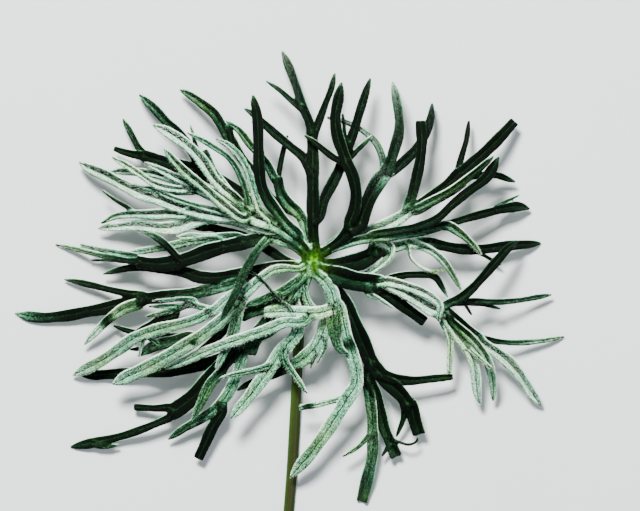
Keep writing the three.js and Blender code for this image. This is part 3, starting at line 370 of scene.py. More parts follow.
# %% The ray towards the lower right
plan("lower_right", [
    ["lower_right", "hub", [1.7, 4.6, 3.8], [15.5, 14], 0, "fork", "3211",
     [[1.5, -1.5], [5, -2.9], [9, -4.1], [13, -4.5], [15.5, -4.6]]],
    ["lower_right_top", "lower_right", [1.9, 1.8, 1.6], [12.5, 9.5], 0, "point", "2111127",
     [[15.5, -4.7], [18, -3.4], [21, -2.8], [24, -2.8], [26.5, -3], [27.7, -3.8], [28.6, -5.2],
      [30, -7.6]]],
    ["lower_right_upper", "lower_right", [2.2, 2.3, 1.9], [15, 14.5], 15, "point", "8899",
     [[16.5, -4.2], [22, -5.6], [26.5, -7.6], [28.5, -9.5], [28, -13]]],
    ["lower_right_middle", "lower_right", [2.4, 2.8, 3.2], [13, 12], 0, "fork", "78887",
     [[16, -4.8], [20, -6.6], [24, -8.8], [27, -10.6], [29.5, -11]]],
    ["lower_right_turned", "lower_right", [2.8, 2.8, 2.6], [10.5, 8], 0, "blunt", "3211",
     [[13.5, -5.5], [16.9, -7.3], [20.3, -9.9], [24.9, -13.1]]],
    ["lower_right_flap", "lower_right_turned", [1.3, 1.5, 1.1], [14, 13], 20, "point", "777",
     [[12.3, -6.6], [14.8, -8], [17.8, -10]]],
    ["lower_right_crossing", "lower_right_middle", [2.4, 2.2, 2.2], [14, 8], 0, "point", "52111",
     [[29.5, -9.6], [32.5, -8.2], [35, -6.2], [38, -3], [41, 0.3], [43.5, 3], [45.5, 4.6]]],
    ["lower_right_level", "lower_right_crossing", [1.6, 1.5, 1.4], [8, 2.5], 0, "point", "2344",
     [[32, -9], [36, -8.7], [41, -8.8], [46, -8.4], [50, -7.8], [53, -7.3]]],
    ["lower_right_level_tooth", "lower_right_level", [1.3, 1.3, 1.1], [9, 8], 0, "point", "222",
     [[34, -9.3], [38, -9.4], [41.6, -10.3]]],
    ["lower_right_small_tooth", "lower_right_level", [0.9, 0.8, 0.8], [10, 9], 0, "point", "222",
     [[34, -9.6], [35.3, -11.6]]],
    ["lower_right_fan", "lower_right_middle", [2.3, 2.2, 2.2], [11.5, 9], 0, "fork", "1136",
     [[29, -10.5], [32, -12.6], [35, -15], [37.5, -17]]],
    ["lower_right_far", "lower_right_fan", [1.5, 1.5, 1.3], [4.5, 0.4], 0, "point", "2477",
     [[37.5, -16.6], [41, -17.5], [46, -17.9], [51, -17.5], [55.8, -16.6]]],
    ["lower_right_down", "lower_right_fan", [2.3, 2.9, 2.4], [6.5, 2], 0, "point", "689999",
     [[37.8, -17.9], [40.6, -19.8], [44, -22.8], [47, -26.4], [49.4, -29.8], [50.9, -31.8]]],
    ["lower_right_bent", "lower_right_fan", [2, 2.2, 2], [10.5, 3.5], 0, "point", "1366777",
     [[30.5, -12.5], [32.5, -14.5], [35.5, -17.3], [37.7, -20], [39.3, -23], [40.2, -27],
      [40.2, -30.6]]],
    ["lower_right_inner", "lower_right_middle", [2.3, 2.4, 2.3], [9, 4.5], 8, "point", "78999",
     [[29.3, -11.9], [31.7, -15.5], [34.2, -18.6], [35.7, -22], [36.4, -26], [36.8, -29],
      [37.3, -31.3]]],
    ["lower_right_inner_tooth", "lower_right_inner", [1.4, 1.3, 1.1], [12, 12.5], 0, "point", "899",
     [[34.8, -19], [37, -21.3], [39.8, -23.5]]],
    ["lower_right_hanging", "lower_right_middle", [2.8, 1.7, 1.5], [10, 8], -10, "blunt", "7899",
     [[28.8, -12.5], [30, -15.5], [30.6, -18], [30.5, -21], [30.3, -24.4]]],
])

# %% The dark ray down to the right
plan("lower_right", [
    ["down_right", "hub", [1.4, 3.7, 3.4], [13.5, 10], 0, "fork", "00111",
     [[2, -2.7], [5.2, -6], [7.6, -9.7], [9.6, -14], [11.4, -18.5], [13.2, -22.4], [15.3, -25]]],
    ["down_right_level", "down_right", [3, 2.3, 1.6], [8, 6], 0, "blunt", "1123",
     [[15, -24.3], [18, -25.8], [22, -26.2], [26, -25.9], [31, -25.5]]],
    ["down_right_middle", "down_right", [2.7, 3.4, 3.4], [8.5, 7], 0, "fork", "111",
     [[15.5, -25.6], [18.4, -28], [20.4, -30.2], [21.1, -32.2]]],
    ["down_right_middle_left", "down_right_middle", [1.9, 1.8, 1.4], [5, 3], 0, "point", "122",
     [[20.7, -31.5], [20.3, -34.5], [18.8, -38.6]]],
    ["down_right_middle_right", "down_right_middle", [3.2, 3.3, 3.2], [5.5, 4], 0, "blunt", "012",
     [[21.5, -31.2], [22.6, -34.5], [23.8, -38]]],
    ["down_right_inner", "down_right", [2.2, 2.7, 2.8], [7, 3], 0, "blunt", "11233",
     [[12.6, -25.5], [14.2, -29.3], [15.1, -33], [16, -36.5], [17.3, -39.6], [18.6, -43]]],
    ["down_right_inner_curl", "down_right_inner", [0.8, 0.7, 0.7], [4.5, 5], 0, "point", "010",
     [[17.3, -38.9], [19.5, -40], [21.5, -40.5], [23.2, -39.8], [23.4, -39]]],
    ["down_right_inner_tooth", "down_right_inner", [1.4, 1.3, 1], [3.5, 3.5], 0, "point", "111",
     [[17.2, -40.5], [15.6, -43]]],
    ["down_right_long", "down_right", [2.2, 2.7, 2.9], [6, 0.5], 0, "blunt", "14555544",
     [[12.1, -26], [12.8, -30], [13.4, -34], [13.5, -38], [13.4, -42], [12.7, -46], [11.9, -50],
      [11.2, -53]]],
    ["down_right_long_tooth", "down_right_long", [1.5, 1.4, 1.1], [6, 6.5], 0, "point", "566",
     [[12, -39.3], [10.3, -41], [6.9, -43]]],
])

# %% The two limbs round the oval gap below the hub, and what hangs from them
plan("lower", [
    ["down", "hub", [1.6, 2.9, 3.2], [17, 16], 0, "fork", "7888",
     [[0.6, -2.3], [2.4, -3.9], [4.2, -6.3], [4.8, -8.8], [4.9, -11]]],
    ["down_left_limb", "hub", [1.1, 1.5, 2], [16.5, 16], 0, "fork", "7778",
     [[-0.7, -2.5], [-1.4, -5], [-1.4, -7.5], [-0.6, -9.4], [0.6, -10.8]]],
    ["down_level", "down", [3, 3, 2.6], [17, 15.5], 0, "blunt", "9999",
     [[4.5, -10.6], [1, -11.3], [-3, -11.1], [-7, -11], [-10.3, -11.2]]],
    ["down_sweeping", "down", [3.2, 3.3, 1.8], [9.5, 7.5], 12, "point", "788887631111",
     [[3.5, -12.5], [2.3, -16], [0.5, -19.2], [-2.5, -21.9], [-6, -23.6], [-10, -25.3],
      [-13.5, -26.7], [-16.5, -28.4]]],
    ["down_sweeping_edge", "down_sweeping", [1, 0.9, 0.8], [11.5, 11], 0, "point", "777",
     [[3.2, -18], [2, -21], [1.2, -22.3]]],
    ["down_sweeping_tooth", "down_sweeping", [0.9, 0.8, 0.8], [10.5, 10], 0, "point", "766",
     [[0.8, -20], [-0.3, -23.4]]],
    ["down_short", "down", [3.4, 3.2, 2.6], [16, 16.5], 0, "point", "6555",
     [[4.7, -11.5], [4.9, -14.2], [5.3, -17.2], [6.3, -19.3], [7.9, -20.1]]],
    ["down_long", "down", [1.9, 3.2, 2.8], [12.5, 5.5], 0, "point", "8888828888888888777777",
     [[6.2, -9.5], [7, -13], [7.8, -16.5], [8.8, -20], [9.8, -24], [9.8, -27], [8, -30], [5.5, -34],
      [2.5, -38.5], [-0.8, -43], [-4.7, -47.6]]],
    ["down_long_side", "down_long", [1.7, 1.5, 1.5], [10.5, 9.5], 0, "blunt", "7889919",
     [[6.5, -30.2], [3.5, -31], [0.5, -31.7], [-2.6, -32.2]]],
    ["down_edge_on", "down_level", [1, 1, 0.9], [20, 20.5], 70, "point", "7766",
     [[-4.8, -10.2], [-6.5, -8.8], [-9, -6.3], [-11.5, -3.5], [-13.8, -2]]],
])

# %% The fans towards the lower left
plan("lower", [
    ["lower_left_pale", "hub", [1.4, 2.8, 2.8], [16.2, 15.5], 0, "fork", "8776",
     [[-1.5, -3], [-3, -5.5], [-4.5, -8], [-6, -9.5], [-6.5, -11]]],
    ["lower_left_inner", "hub", [1.4, 2.6, 2.2], [17.5, 16.5], 10, "point", "7554",
     [[-2.5, -3.6], [-6, -6.3], [-9, -7.6], [-12, -8.8], [-14.8, -9.8]]],
    ["lower_left_backed", "lower_left_inner", [2, 3, 2.6], [15, 14], 0, "blunt", "344",
     [[-8, -9.3], [-11, -10.2], [-14.2, -11.4], [-15.6, -12.2]]],
    ["lower_left_light", "down_level", [2.6, 2.6, 2.1], [16.5, 10], 0, "point", "788888",
     [[-2, -13.2], [-6, -13.4], [-9, -14.6], [-12.5, -15.8], [-16, -17], [-20, -18.4], [-24, -20],
      [-28, -21.8], [-32.5, -23.5]]],
    ["lower_left_dark", "lower_left_pale", [2.8, 2.8, 2.5], [7.5, 0.6], 0, "point", "4431111",
     [[-9, -14.8], [-14, -17.2], [-18, -20], [-23, -22.3], [-30, -24], [-40, -24.6], [-51, -25.3]]],
    ["lower_left_green", "lower_left_pale", [2.8, 3.6, 3.2], [12.5, 12.5], 0, "blunt", "4444",
     [[-8.5, -12], [-11, -14.5], [-13, -17.5], [-13.8, -20.3]]],
    ["lower_left_wide", "lower_left_pale", [2.6, 3.3, 2.7], [12, 11], 0, "point", "88888888",
     [[-3.2, -15.3], [-5.2, -18], [-7.3, -20.6], [-9.4, -23.7], [-12.3, -27.6], [-15.1, -31.2],
      [-17.9, -34.6]]],
    ["lower_left_wide_side", "lower_left_wide", [1.6, 1.6, 1.2], [12.7, 12.5], 0, "point", "777",
     [[-9.5, -23], [-12, -23.8], [-15, -24.4], [-18, -25], [-20.3, -25.7]]],
    ["lower_left_wide_drop", "lower_left_wide", [2, 1.9, 1.5], [11.5, 10.5], 0, "point", "6677",
     [[-6, -18.5], [-6.3, -21], [-5, -23.5], [-3.2, -26], [-1.2, -28.9]]],
    ["lower_left_limb", "lower_left_dark", [3.2, 4, 3.7], [8, 6], 0, "fork", "1110",
     [[-17, -19.8], [-21.4, -24.4], [-24.9, -28.5], [-28.3, -31.5], [-31.2, -33.5]]],
    ["lower_left_limb_top", "lower_left_limb", [2.3, 1.9, 1.7], [4.5, 3], 0, "blunt", "112",
     [[-31.5, -32.3], [-35, -32.4], [-39.3, -32.2]]],
    ["lower_left_limb_long", "lower_left_limb", [2.1, 2, 2.5], [3.5, 0.5], 0, "point", "1222221",
     [[-31.3, -34.2], [-35, -36], [-40, -37.9], [-45, -39.3], [-50, -40.4], [-53.5, -41.1]]],
    ["lower_left_limb_green", "lower_left_limb_long", [1.5, 1.6, 1.3], [2.5, 2.5], 0, "point", "455",
     [[-48, -40.4], [-45.5, -40.9], [-42.9, -40.6]]],
    ["lower_left_limb_inner", "lower_left_limb", [2.5, 2.6, 2], [11, 10], 0, "point", "3555",
     [[-20, -24], [-22.5, -27], [-24.5, -31], [-26.5, -35]]],
    ["lower_left_curved", "lower_left_dark", [2.4, 2.6, 2], [7.5, 3], 0, "point", "577643",
     [[-15.5, -21], [-16.7, -25], [-18.3, -28.5], [-21, -32], [-25, -35], [-28.5, -37],
      [-31.8, -39.3]]],
    ["lower_left_curved_drop", "lower_left_curved", [2.3, 2.6, 2.5], [5.5, 3.5], 0, "blunt", "1100",
     [[-19.8, -33], [-22, -36.5], [-23.8, -40.5], [-25.2, -43.5]]],
])

# %% The light ribbon to the left of the hub, and its fan
plan("left", [
    ["left_ribbon", "hub", [1, 2.3, 2.8], [19, 18], 0, "fork", "788887",
     [[-2.7, -1.5], [-6, -1.4], [-8.3, -1.7], [-10.5, -3], [-12.5, -4.8], [-14.8, -7], [-16.2, -9.5]]],
    ["left_ribbon_down", "left_ribbon", [2.8, 2.6, 1.9], [15, 12.5], 0, "point", "7667",
     [[-16, -9], [-16.5, -12], [-17.4, -15.5], [-19, -19], [-21.2, -23.8]]],
    ["left_broad", "left_ribbon", [2.6, 3.2, 3.3], [14.5, 9], 0, "point", "77777777",
     [[-16.5, -9.8], [-18.5, -11.6], [-20.5, -13.3], [-25.5, -17], [-30, -19.8], [-35, -22.6],
      [-40, -25], [-44, -27]]],
    ["left_broad_under", "left_ribbon", [2, 2.4, 2], [12, 8], 0, "point", "111",
     [[-17, -11.5], [-19, -14.3], [-21.5, -17.1], [-24.6, -20], [-28, -22.4]]],
    ["left_upper_limb", "left_ribbon", [2, 2.4, 2.2], [18, 16.5], 0, "fork", "888",
     [[-17, -7], [-19.3, -8.5], [-21.5, -10.5], [-22.8, -11.2]]],
    ["left_upper_long", "left_upper_limb", [2.2, 2.9, 2.7], [12.5, 2], 0, "point", "77777777",
     [[-22.6, -11], [-25.5, -12.6], [-30, -13.9], [-35, -15.2], [-39.5, -17], [-42, -18.7],
      [-47, -22], [-53, -25.2]]],
    ["left_upper_twig", "left_upper_limb", [1.8, 1.6, 1.5], [15.5, 14.5], 0, "fork", "777",
     [[-22.6, -10.4], [-25, -9.8], [-28, -9.2]]],
    ["left_upper_first", "left_upper_twig", [1.4, 1.3, 1.1], [14.5, 14], 15, "point", "666",
     [[-26, -8.6], [-28.5, -8.2], [-32, -8.5], [-35, -8.6]]],
    ["left_upper_second", "left_upper_twig", [1.4, 1.4, 1.2], [12.8, 12], 0, "point", "556",
     [[-27, -9.3], [-31, -9.8], [-36, -9.8]]],
    ["left_upper_third", "left_upper_twig", [1.3, 1.4, 1.3], [12.5, 11], 0, "point", "665",
     [[-28, -9.8], [-33, -11.2], [-36.6, -12]]],
    ["left_upper_dark", "left_upper_third", [1.3, 2.7, 1.9], [10.5, 8.5], 0, "point", "2111",
     [[-30.2, -11.7], [-33.3, -12.9], [-37.3, -14.6], [-39.5, -15.8]]],
    ["left_tucked", "left_broad", [2.4, 2.9, 2.6], [12, 9.5], 0, "point", "3445",
     [[-27, -16.5], [-31, -17.6], [-35, -18.6], [-38.5, -20.8]]],
    ["left_tucked_edge", "left_tucked", [1.3, 1.2, 1], [12.5, 11.5], 30, "point", "777",
     [[-36.7, -16.8], [-37.7, -18.6], [-38.2, -20.9]]],
    ["left_tucked_tip", "left_tucked", [1.4, 1.3, 1.1], [8.5, 8], 0, "point", "111",
     [[-36, -18.8], [-40.2, -19.4]]],
    ["left_under", "left_broad", [1.6, 1.7, 1.5], [7.5, 4], 0, "point", "1111",
     [[-28, -16.6], [-34, -16.5], [-39.5, -15.6], [-43.9, -14.2]]],
])

# %% The dark limbs straight to the left
plan("left", [
    ["left_first", "hub", [1.5, 3.4, 3.1], [17, 11], 0, "fork", "2683111111",
     [[-1.3, 1.2], [-3.5, 3.2], [-6, 4.5], [-9, 5.4], [-12, 5.1], [-15, 4.3], [-19, 3.5], [-23, 2.4],
      [-27, 0.9], [-31, -0.2], [-35, -0.4], [-38.5, 0.1]]],
    ["left_folded", "left_first", [2, 2.1, 1.8], [23, 22.5], 0, "point", "7544433",
     [[-9.8, 5], [-11.5, 3.3], [-13, 1], [-14.7, -2], [-16.5, -6], [-18.3, -9.5], [-20.2, -12.9]]],
    ["left_first_upper", "left_first", [2.2, 2.3, 1.9], [15, 12.5], 0, "point", "35777",
     [[-16, 5.4], [-19, 5.4], [-23.5, 5.4], [-27, 5.7], [-30, 5.5]]],
    ["left_first_lower", "left_first", [1.9, 2, 1.7], [12.5, 8], 0, "point", "46777",
     [[-21, 4.8], [-26, 4.6], [-31, 3.6], [-36, 2.7], [-41, 2]]],
    ["left_first_cross", "left_first", [1.8, 1.8, 1.5], [15.5, 14], 0, "point", "1158",
     [[-29.5, 0.8], [-31.5, 3], [-33.5, 4.8], [-36, 6.3], [-38.8, 7.2]]],
    ["left_first_tip", "left_first", [1.8, 1.6, 1.3], [6.5, 1.5], 0, "point", "3677",
     [[-38.5, 1], [-43, 1.9], [-47, 2.8], [-51.4, 3.9]]],
    ["left_first_far", "left_first", [1.7, 1.4, 1.2], [5.5, 0.4], 0, "point", "13678",
     [[-38.5, 0.1], [-41, 0.3], [-45, 1.1], [-49, 2], [-53, 3], [-56.8, 3.9]]],
    ["left_first_small", "left_first_far", [1.3, 1.2, 1], [3, 2.5], 0, "point", "666",
     [[-43, 0.3], [-46, 0.5], [-49, 0.4]]],
    ["left_second", "hub", [1.5, 3, 1.5], [13.5, 4], 0, "point", "11111111113",
     [[-2.8, -0.6], [-5, -0.6], [-9, -1.1], [-13, -1.9], [-17, -2.8], [-21, -3.4], [-25, -3.3],
      [-28, -2.3], [-32, -1.5], [-37, -1.1], [-41, -1.4], [-46.2, -2.6]]],
    ["left_third", "left_second", [2.4, 2.8, 3.1], [12.5, 8], 0, "fork", "2564311",
     [[-13, -3], [-17, -4.7], [-21, -5.8], [-26, -6.8], [-31, -7.4], [-36, -8], [-38.5, -8.3]]],
    ["left_third_upper", "left_third", [1.8, 1.7, 1.6], [5, 1.5], 0, "point", "1123",
     [[-37, -7.3], [-41, -6.9], [-45, -6.1], [-49, -5.1], [-52, -4.4], [-54.8, -3.9]]],
    ["left_third_far", "left_third", [2.8, 2.9, 2.6], [3, 0.5], 0, "point", "1111246",
     [[-38, -8.2], [-42, -9.1], [-46, -10.3], [-50, -11], [-55, -11.9], [-60, -12.3], [-63.5, -11.9],
      [-65.8, -11.4]]],
    ["left_third_lower", "left_third", [2.9, 2.5, 1.8], [7, 3.5], 0, "point", "35671999",
     [[-38, -9], [-41.5, -10.2], [-44.6, -12.3], [-47, -14.6], [-49, -16.6], [-50.4, -18.2]]],
    ["left_behind", "hub", [1.5, 2.4, 1.9], [12.5, 9.5], 0, "point", "21111",
     [[-2.8, -0.4], [-6, 0.5], [-9, 2.3], [-12, 4.2], [-15, 5.6], [-19, 6.8], [-23, 7.8],
      [-26.5, 8.1]]],
    ["left_behind_tooth", "left_behind", [0.9, 0.8, 0.8], [10, 9.5], 0, "point", "566",
     [[-23.5, 7.1], [-27.2, 7.7]]],
])

# %% The great fan towards the upper left
plan("upper_left", [
    ["upper_left", "hub", [1.7, 3.4, 3], [20, 18.5], 0, "fork", "24788",
     [[-0.8, 2], [-3, 4.5], [-6, 6.6], [-9, 8.3], [-12, 9.5], [-16, 11.6], [-19, 13.8]]],
    ["upper_left_white", "upper_left", [1.5, 3.2, 2], [13, 4], 0, "point", "788999999",
     [[-8, 6.5], [-11, 7.3], [-15, 8.6], [-18, 9.4], [-21, 9.8], [-24, 9.6], [-27, 8.8], [-30, 7.9],
      [-33, 7.5], [-36, 7.7], [-39, 8], [-43, 7.9], [-47.3, 7.5]]],
    ["upper_left_outer", "upper_left", [2, 2.9, 2.6], [12.5, 4], 0, "point", "78888877",
     [[-14, 9.7], [-17, 9.8], [-22, 10.4], [-26, 11], [-30, 12.4], [-34, 14], [-38, 15.3], [-42, 17],
      [-46, 19.2], [-50, 21.2], [-51.5, 22.1]]],
    ["upper_left_low", "upper_left_outer", [2.2, 2.5, 1.6], [10, 6.5], 0, "point", "7776",
     [[-28.5, 10.5], [-32, 10.7], [-36, 10.6], [-40, 10.5], [-43.5, 10.1], [-46.6, 8.7]]],
    ["upper_left_low_tooth", "upper_left_low", [1.1, 1, 0.9], [8, 7.5], 0, "point", "6125",
     [[-39.5, 11.2], [-41.5, 12.5], [-43.7, 13.8], [-46.3, 15.8]]],
    ["upper_left_short", "upper_left", [1.5, 1.6, 1.4], [17, 13.5], 0, "point", "777",
     [[-18, 10.6], [-21.5, 11.4], [-25.5, 12.4], [-29, 13.5], [-32, 14.7], [-35, 16.2]]],
    ["upper_left_front", "upper_left", [2.4, 2.4, 2.2], [22.5, 20], 0, "point", "67766",
     [[-15, 9.5], [-18.5, 11.8], [-21.5, 14.2], [-24.5, 16.8], [-27.5, 19.4], [-30, 22],
      [-32.5, 24.9]]],
    ["upper_left_spread", "upper_left", [2, 2.2, 2], [16.5, 16], 0, "fork", "888",
     [[-18, 13], [-21, 14], [-24, 15.2], [-27, 16.5]]],
    ["upper_left_spread_a", "upper_left_spread", [1.9, 1.8, 1.6], [14.5, 9.5], 0, "point", "88899",
     [[-26, 16], [-28, 16], [-32, 16.5], [-35, 17.4], [-38, 19.3], [-41, 21.3], [-44, 23.1]]],
    ["upper_left_spread_b", "upper_left_spread", [1.5, 1.4, 1.2], [13.2, 10.4], 0, "point", "777",
     [[-26, 15.6], [-32, 15.4], [-36, 16.2], [-40, 17.2]]],
    ["upper_left_spread_c", "upper_left_spread", [2, 2, 1.8], [11.5, 3.5], 0, "point", "7777",
     [[-27, 17], [-29.5, 17.9], [-33, 18.9], [-37, 19.8], [-41, 20.1], [-44.8, 20.1]]],
    ["upper_left_spread_d", "upper_left_spread", [1.9, 1.9, 1.7], [15.5, 13.5], 0, "point", "888",
     [[-27.5, 17.3], [-30, 18.6], [-33, 20.2], [-36.8, 21.9]]],
    ["upper_left_inner", "upper_left", [2, 2.2, 1.8], [19.5, 18.5], 0, "point", "667",
     [[-15.5, 12], [-19, 14.3], [-23, 16.8]]],
    ["upper_left_silver", "upper_left", [2, 2.7, 2.4], [18, 12], 0, "point", "7788999",
     [[-14.8, 11.8], [-17.2, 14.2], [-19.6, 16.4], [-21.7, 18.6], [-23.5, 21.2], [-25.6, 23.8],
      [-28.7, 26.6], [-32.3, 29.1], [-35, 30.3]]],
    ["upper_left_stub", "upper_left", [1.9, 1.9, 1.8], [19.5, 17], 0, "blunt", "5554",
     [[-14.5, 11.8], [-17.2, 14.5], [-19.7, 17.5], [-21.8, 20.5], [-23, 22.8], [-23.8, 24.4]]],
    ["upper_left_dark", "upper_left", [2.6, 3.2, 3], [11.5, 7], 0, "fork", "3111111",
     [[-13, 13.2], [-16.5, 15.7], [-20, 17.7], [-23, 19.2], [-26, 20.6], [-29, 21.2], [-33, 22.2],
      [-37, 23.4]]],
    ["upper_left_dark_up", "upper_left_dark", [2.1, 1.8, 1.5], [5, 2], 0, "point", "2344",
     [[-36.5, 23.5], [-38.3, 25.2], [-39.8, 27.8], [-41, 30], [-41.9, 31.6]]],
    ["upper_left_dark_out", "upper_left_dark", [2.5, 1.9, 1.3], [6, 4.5], 0, "blunt", "112",
     [[-37, 23.4], [-39.5, 23.9], [-41.5, 24.4], [-43.7, 25.1]]],
    ["upper_left_rising", "upper_left_dark", [2.3, 2.3, 2.1], [9, 3], 0, "point", "111345",
     [[-24.5, 20], [-25.8, 23], [-27.5, 26], [-30, 29.2], [-32.5, 31.3], [-35, 34], [-38.2, 37.1]]],
    ["upper_left_rising_tooth", "upper_left_rising", [1.4, 1.3, 1.1], [9.5, 9], 0, "point", "2457",
     [[-25.5, 24], [-26, 27], [-26.8, 30.2]]],
    ["upper_left_ribbon", "upper_left", [2.2, 2.1, 1.8], [20.5, 15], 25, "point", "7998888",
     [[-9, 9], [-11.5, 11.4], [-12.7, 14.7], [-13.6, 17.8], [-14.7, 20.7], [-16.4, 23.3],
      [-18.7, 25.6], [-21.1, 27.1]]],
    ["upper_left_ribbon_side", "upper_left_ribbon", [1.5, 1.5, 1.3], [18, 13], 0, "point", "4555666",
     [[-13.8, 12], [-14.4, 14.7], [-15.3, 17.8], [-16.7, 20.9], [-18.7, 23.3], [-21.3, 25.1],
      [-24.4, 27], [-27.4, 28.6]]],
    ["upper_left_standing", "upper_left", [2.6, 2.7, 2.4], [25, 18.5], 0, "point", "45311112",
     [[-3, 5.8], [-5.5, 8.5], [-8, 11.5], [-10, 14.2], [-11.3, 17.5], [-11.6, 21], [-11.7, 25],
      [-11.9, 29], [-12.2, 32.5], [-13, 36.7]]],
])

# %% The ray between the upper left fan and the top ray
plan("upper_left", [
    ["top_inner", "hub", [1.5, 2.8, 2.5], [18, 17], 0, "fork", "46642",
     [[-0.2, 3], [-1.2, 6], [-1.6, 8.5], [-2.8, 10.8], [-5.5, 13.2], [-7, 15.5], [-7.7, 18.5]]],
    ["top_inner_right", "top_inner", [1.5, 1.4, 1.3], [14, 11], 0, "point", "2112",
     [[-7.4, 19], [-6.8, 22.5], [-6.2, 25.3], [-5.4, 27.9]]],
    ["top_inner_left", "top_inner", [2, 2, 1.7], [15.5, 13], 0, "point", "45555",
     [[-8, 18], [-9.6, 21.3], [-11.5, 23.5], [-13.8, 26], [-16, 29], [-18.8, 31.2]]],
    ["top_inner_long", "top_inner", [1.8, 2.6, 2.2], [14.5, 4], 0, "point", "22233345",
     [[-2.6, 10.2], [-5, 11.4], [-8.7, 13.6], [-11, 16.5], [-12.8, 19.5], [-15.3, 22.8],
      [-17.8, 26.5], [-19.8, 29.8], [-21.8, 33], [-24.5, 35.3], [-27, 37], [-29.2, 38.2]]],
    ["top_inner_long_tooth", "top_inner_long", [1.8, 1.7, 1.6], [13.5, 13.5], 0, "blunt", "123",
     [[-17.5, 26.5], [-18.6, 30.2]]],
])

# %% [markdown]
# ## From points to a curved middle line
# The points of a lobe are joined by a curve that passes through all of them, of the centripetal
# kind, which makes no loops where points lie close together. A lobe starts on the middle line of
# the lobe that carries it, a little before the nearest place, so that it leaves at a slant as a
# real vein does. Slow seeded waves in height, width and twist keep it from looking ruled.

# %% A curve through points
SAMPLES = 160  # steps along each lobe
SPAN_STEPS = 24  # steps between two points of a curve
SHARES = np.linspace(0, 1, SAMPLES + 1)


def unit(vectors, least=0.0):
    return vectors / (np.linalg.norm(vectors, axis=1)[:, None] + least)


def curve_through(points):
    """Equally spaced places on a smooth curve through the points."""
    p = np.array(points, float)
    p = np.vstack([2 * p[0] - p[1], p, 2 * p[-1] - p[-2]])
    gap = np.sqrt(np.linalg.norm(np.diff(p, axis=0), axis=1))
    t = np.linspace(0, 1, SPAN_STEPS, endpoint=False)[:, None]
    spans = []
    for i in range(1, len(p) - 2):
        a, b, c = gap[i - 1 : i + 2]
        before, across, after = p[i] - p[i - 1], p[i + 1] - p[i], p[i + 2] - p[i + 1]
        leave = b * (before / a - (before + across) / (a + b) + across / b)
        reach = b * (across / b - (across + after) / (b + c) + after / c)
        spans.append(
            p[i] * (2 * t**3 - 3 * t**2 + 1)
            + leave * (t**3 - 2 * t**2 + t)
            + p[i + 1] * (3 * t**2 - 2 * t**3)
            + reach * (t**3 - t**2)
        )
    line = np.vstack([*spans, p[-2:-1]])
    run = np.concatenate([[0], np.cumsum(np.linalg.norm(np.diff(line, axis=0), axis=1))])
    places = np.linspace(0, run[-1], SAMPLES + 1)
    return np.stack([np.interp(places, run, line[:, k]) for k in range(2)], axis=1)


def between(three, share):
    """A smooth run through three values, at the start, the middle and the end."""
    start, middle, end = three
    rest = 1 - share
    return start * (rest - share) * rest + middle * 4 * share * rest - end * share * (rest - share)


def directions(line):
    """Forward, sideways and up at each place of a line."""
    forward = unit(np.gradient(line, axis=0))
    side = unit(np.cross(forward, (0, 0, 1)))
    return forward, side, np.cross(side, forward)


print("each middle line is cut into", SAMPLES, "steps")

# %% Where a lobe starts and how it ends
HUB_SHARE = 0.3  # a ray starts at this share of the way to its first point
HUB_SUNK = 0.3  # mm below the top of the hub
LEAVING_SLANT = 0.8
TOO_CLOSE = 0.5  # mm; a first point this near to the start is left out
TAPER = 4.2  # mm, the length over which a pointed lobe narrows
TAPER_SHARE = 0.55  # of a short lobe's length
PLAIN_TAPER = 0.5  # mm, for the other endings
NARROWING = 2.2  # power; larger keeps a lobe wide for longer
TIP_HALF_WIDTH = 0.28  # mm
BLUNT_SHARE = 0.92  # of the width at the end
WIDTH_WAVE = (0.06, 1.4)  # share of the width, and mm along the lobe for each radian


def wave(kind, run, phase, growth=1.0):
    """A slow swing along a line."""
    size, step = kind
    return size * growth * np.sin(run / step + phase)


def start_of(parent, lines, first):
    """The place on the hub or on another lobe where a lobe leaves."""
    if parent == "hub":
        return np.array([HUB_SHARE * first[0], HUB_SHARE * first[1], HUB_HEIGHT - HUB_SUNK])
    line = lines[parent]
    distance = np.hypot(line[:, 0] - first[0], line[:, 1] - first[1])
    nearest = int(distance.argmin())
    step = max(np.linalg.norm(line[-1] - line[0]) / len(line), 0.05)
    return line[max(0, nearest - round(LEAVING_SLANT * distance[nearest] / step))]


def half_widths(widths, ending, run, length, phase):
    """Half the width along the lobe, with its slow wave and its ending."""
    taper = min(TAPER, TAPER_SHARE * length) if ending == "point" else PLAIN_TAPER
    last = widths[2] / 2
    last = {"point": TIP_HALF_WIDTH, "blunt": BLUNT_SHARE * last, "fork": last}[ending]
    full = between(widths, np.clip(run / (length - taper), 0, 1)) / 2
    full = full * (1 + wave(WIDTH_WAVE, run, phase))
    narrowing = np.clip((run - length + taper) / taper, 0, 1) ** NARROWING
    return full * (1 - narrowing) + last * narrowing


print("a pointed lobe narrows over its last", TAPER, "mm")

# %% Draw the middle lines
HEIGHT_WAVE = (0.22, 1.9)  # mm high, and mm along the lobe for each radian
TWIST_WAVE = (radians(9), 2.7)  # radians, and mm
SETTLING = 4  # mm from the start over which the waves grow
ROLL_GROWTH = 3  # the roll is whole at a third of the length
PALE_TIP = 0.36  # added to the silver at the very tip
PALE_LENGTH = 1.5  # mm over which that fades
FOLD = (0.16, 0.3)  # rise of the margins, as a share of the distance from the middle
FOLD_OF_SILVER = 0.4  # silvery lobes are folded more
HUMP = (0.08, 0.12)  # humps beside the midrib, as a share of half the width: bare, and for silver
FOLDING = {"top": 1, "right": 0.8, "lower_right": 1, "lower": 0.14, "left": 0.22, "upper_left": 1}


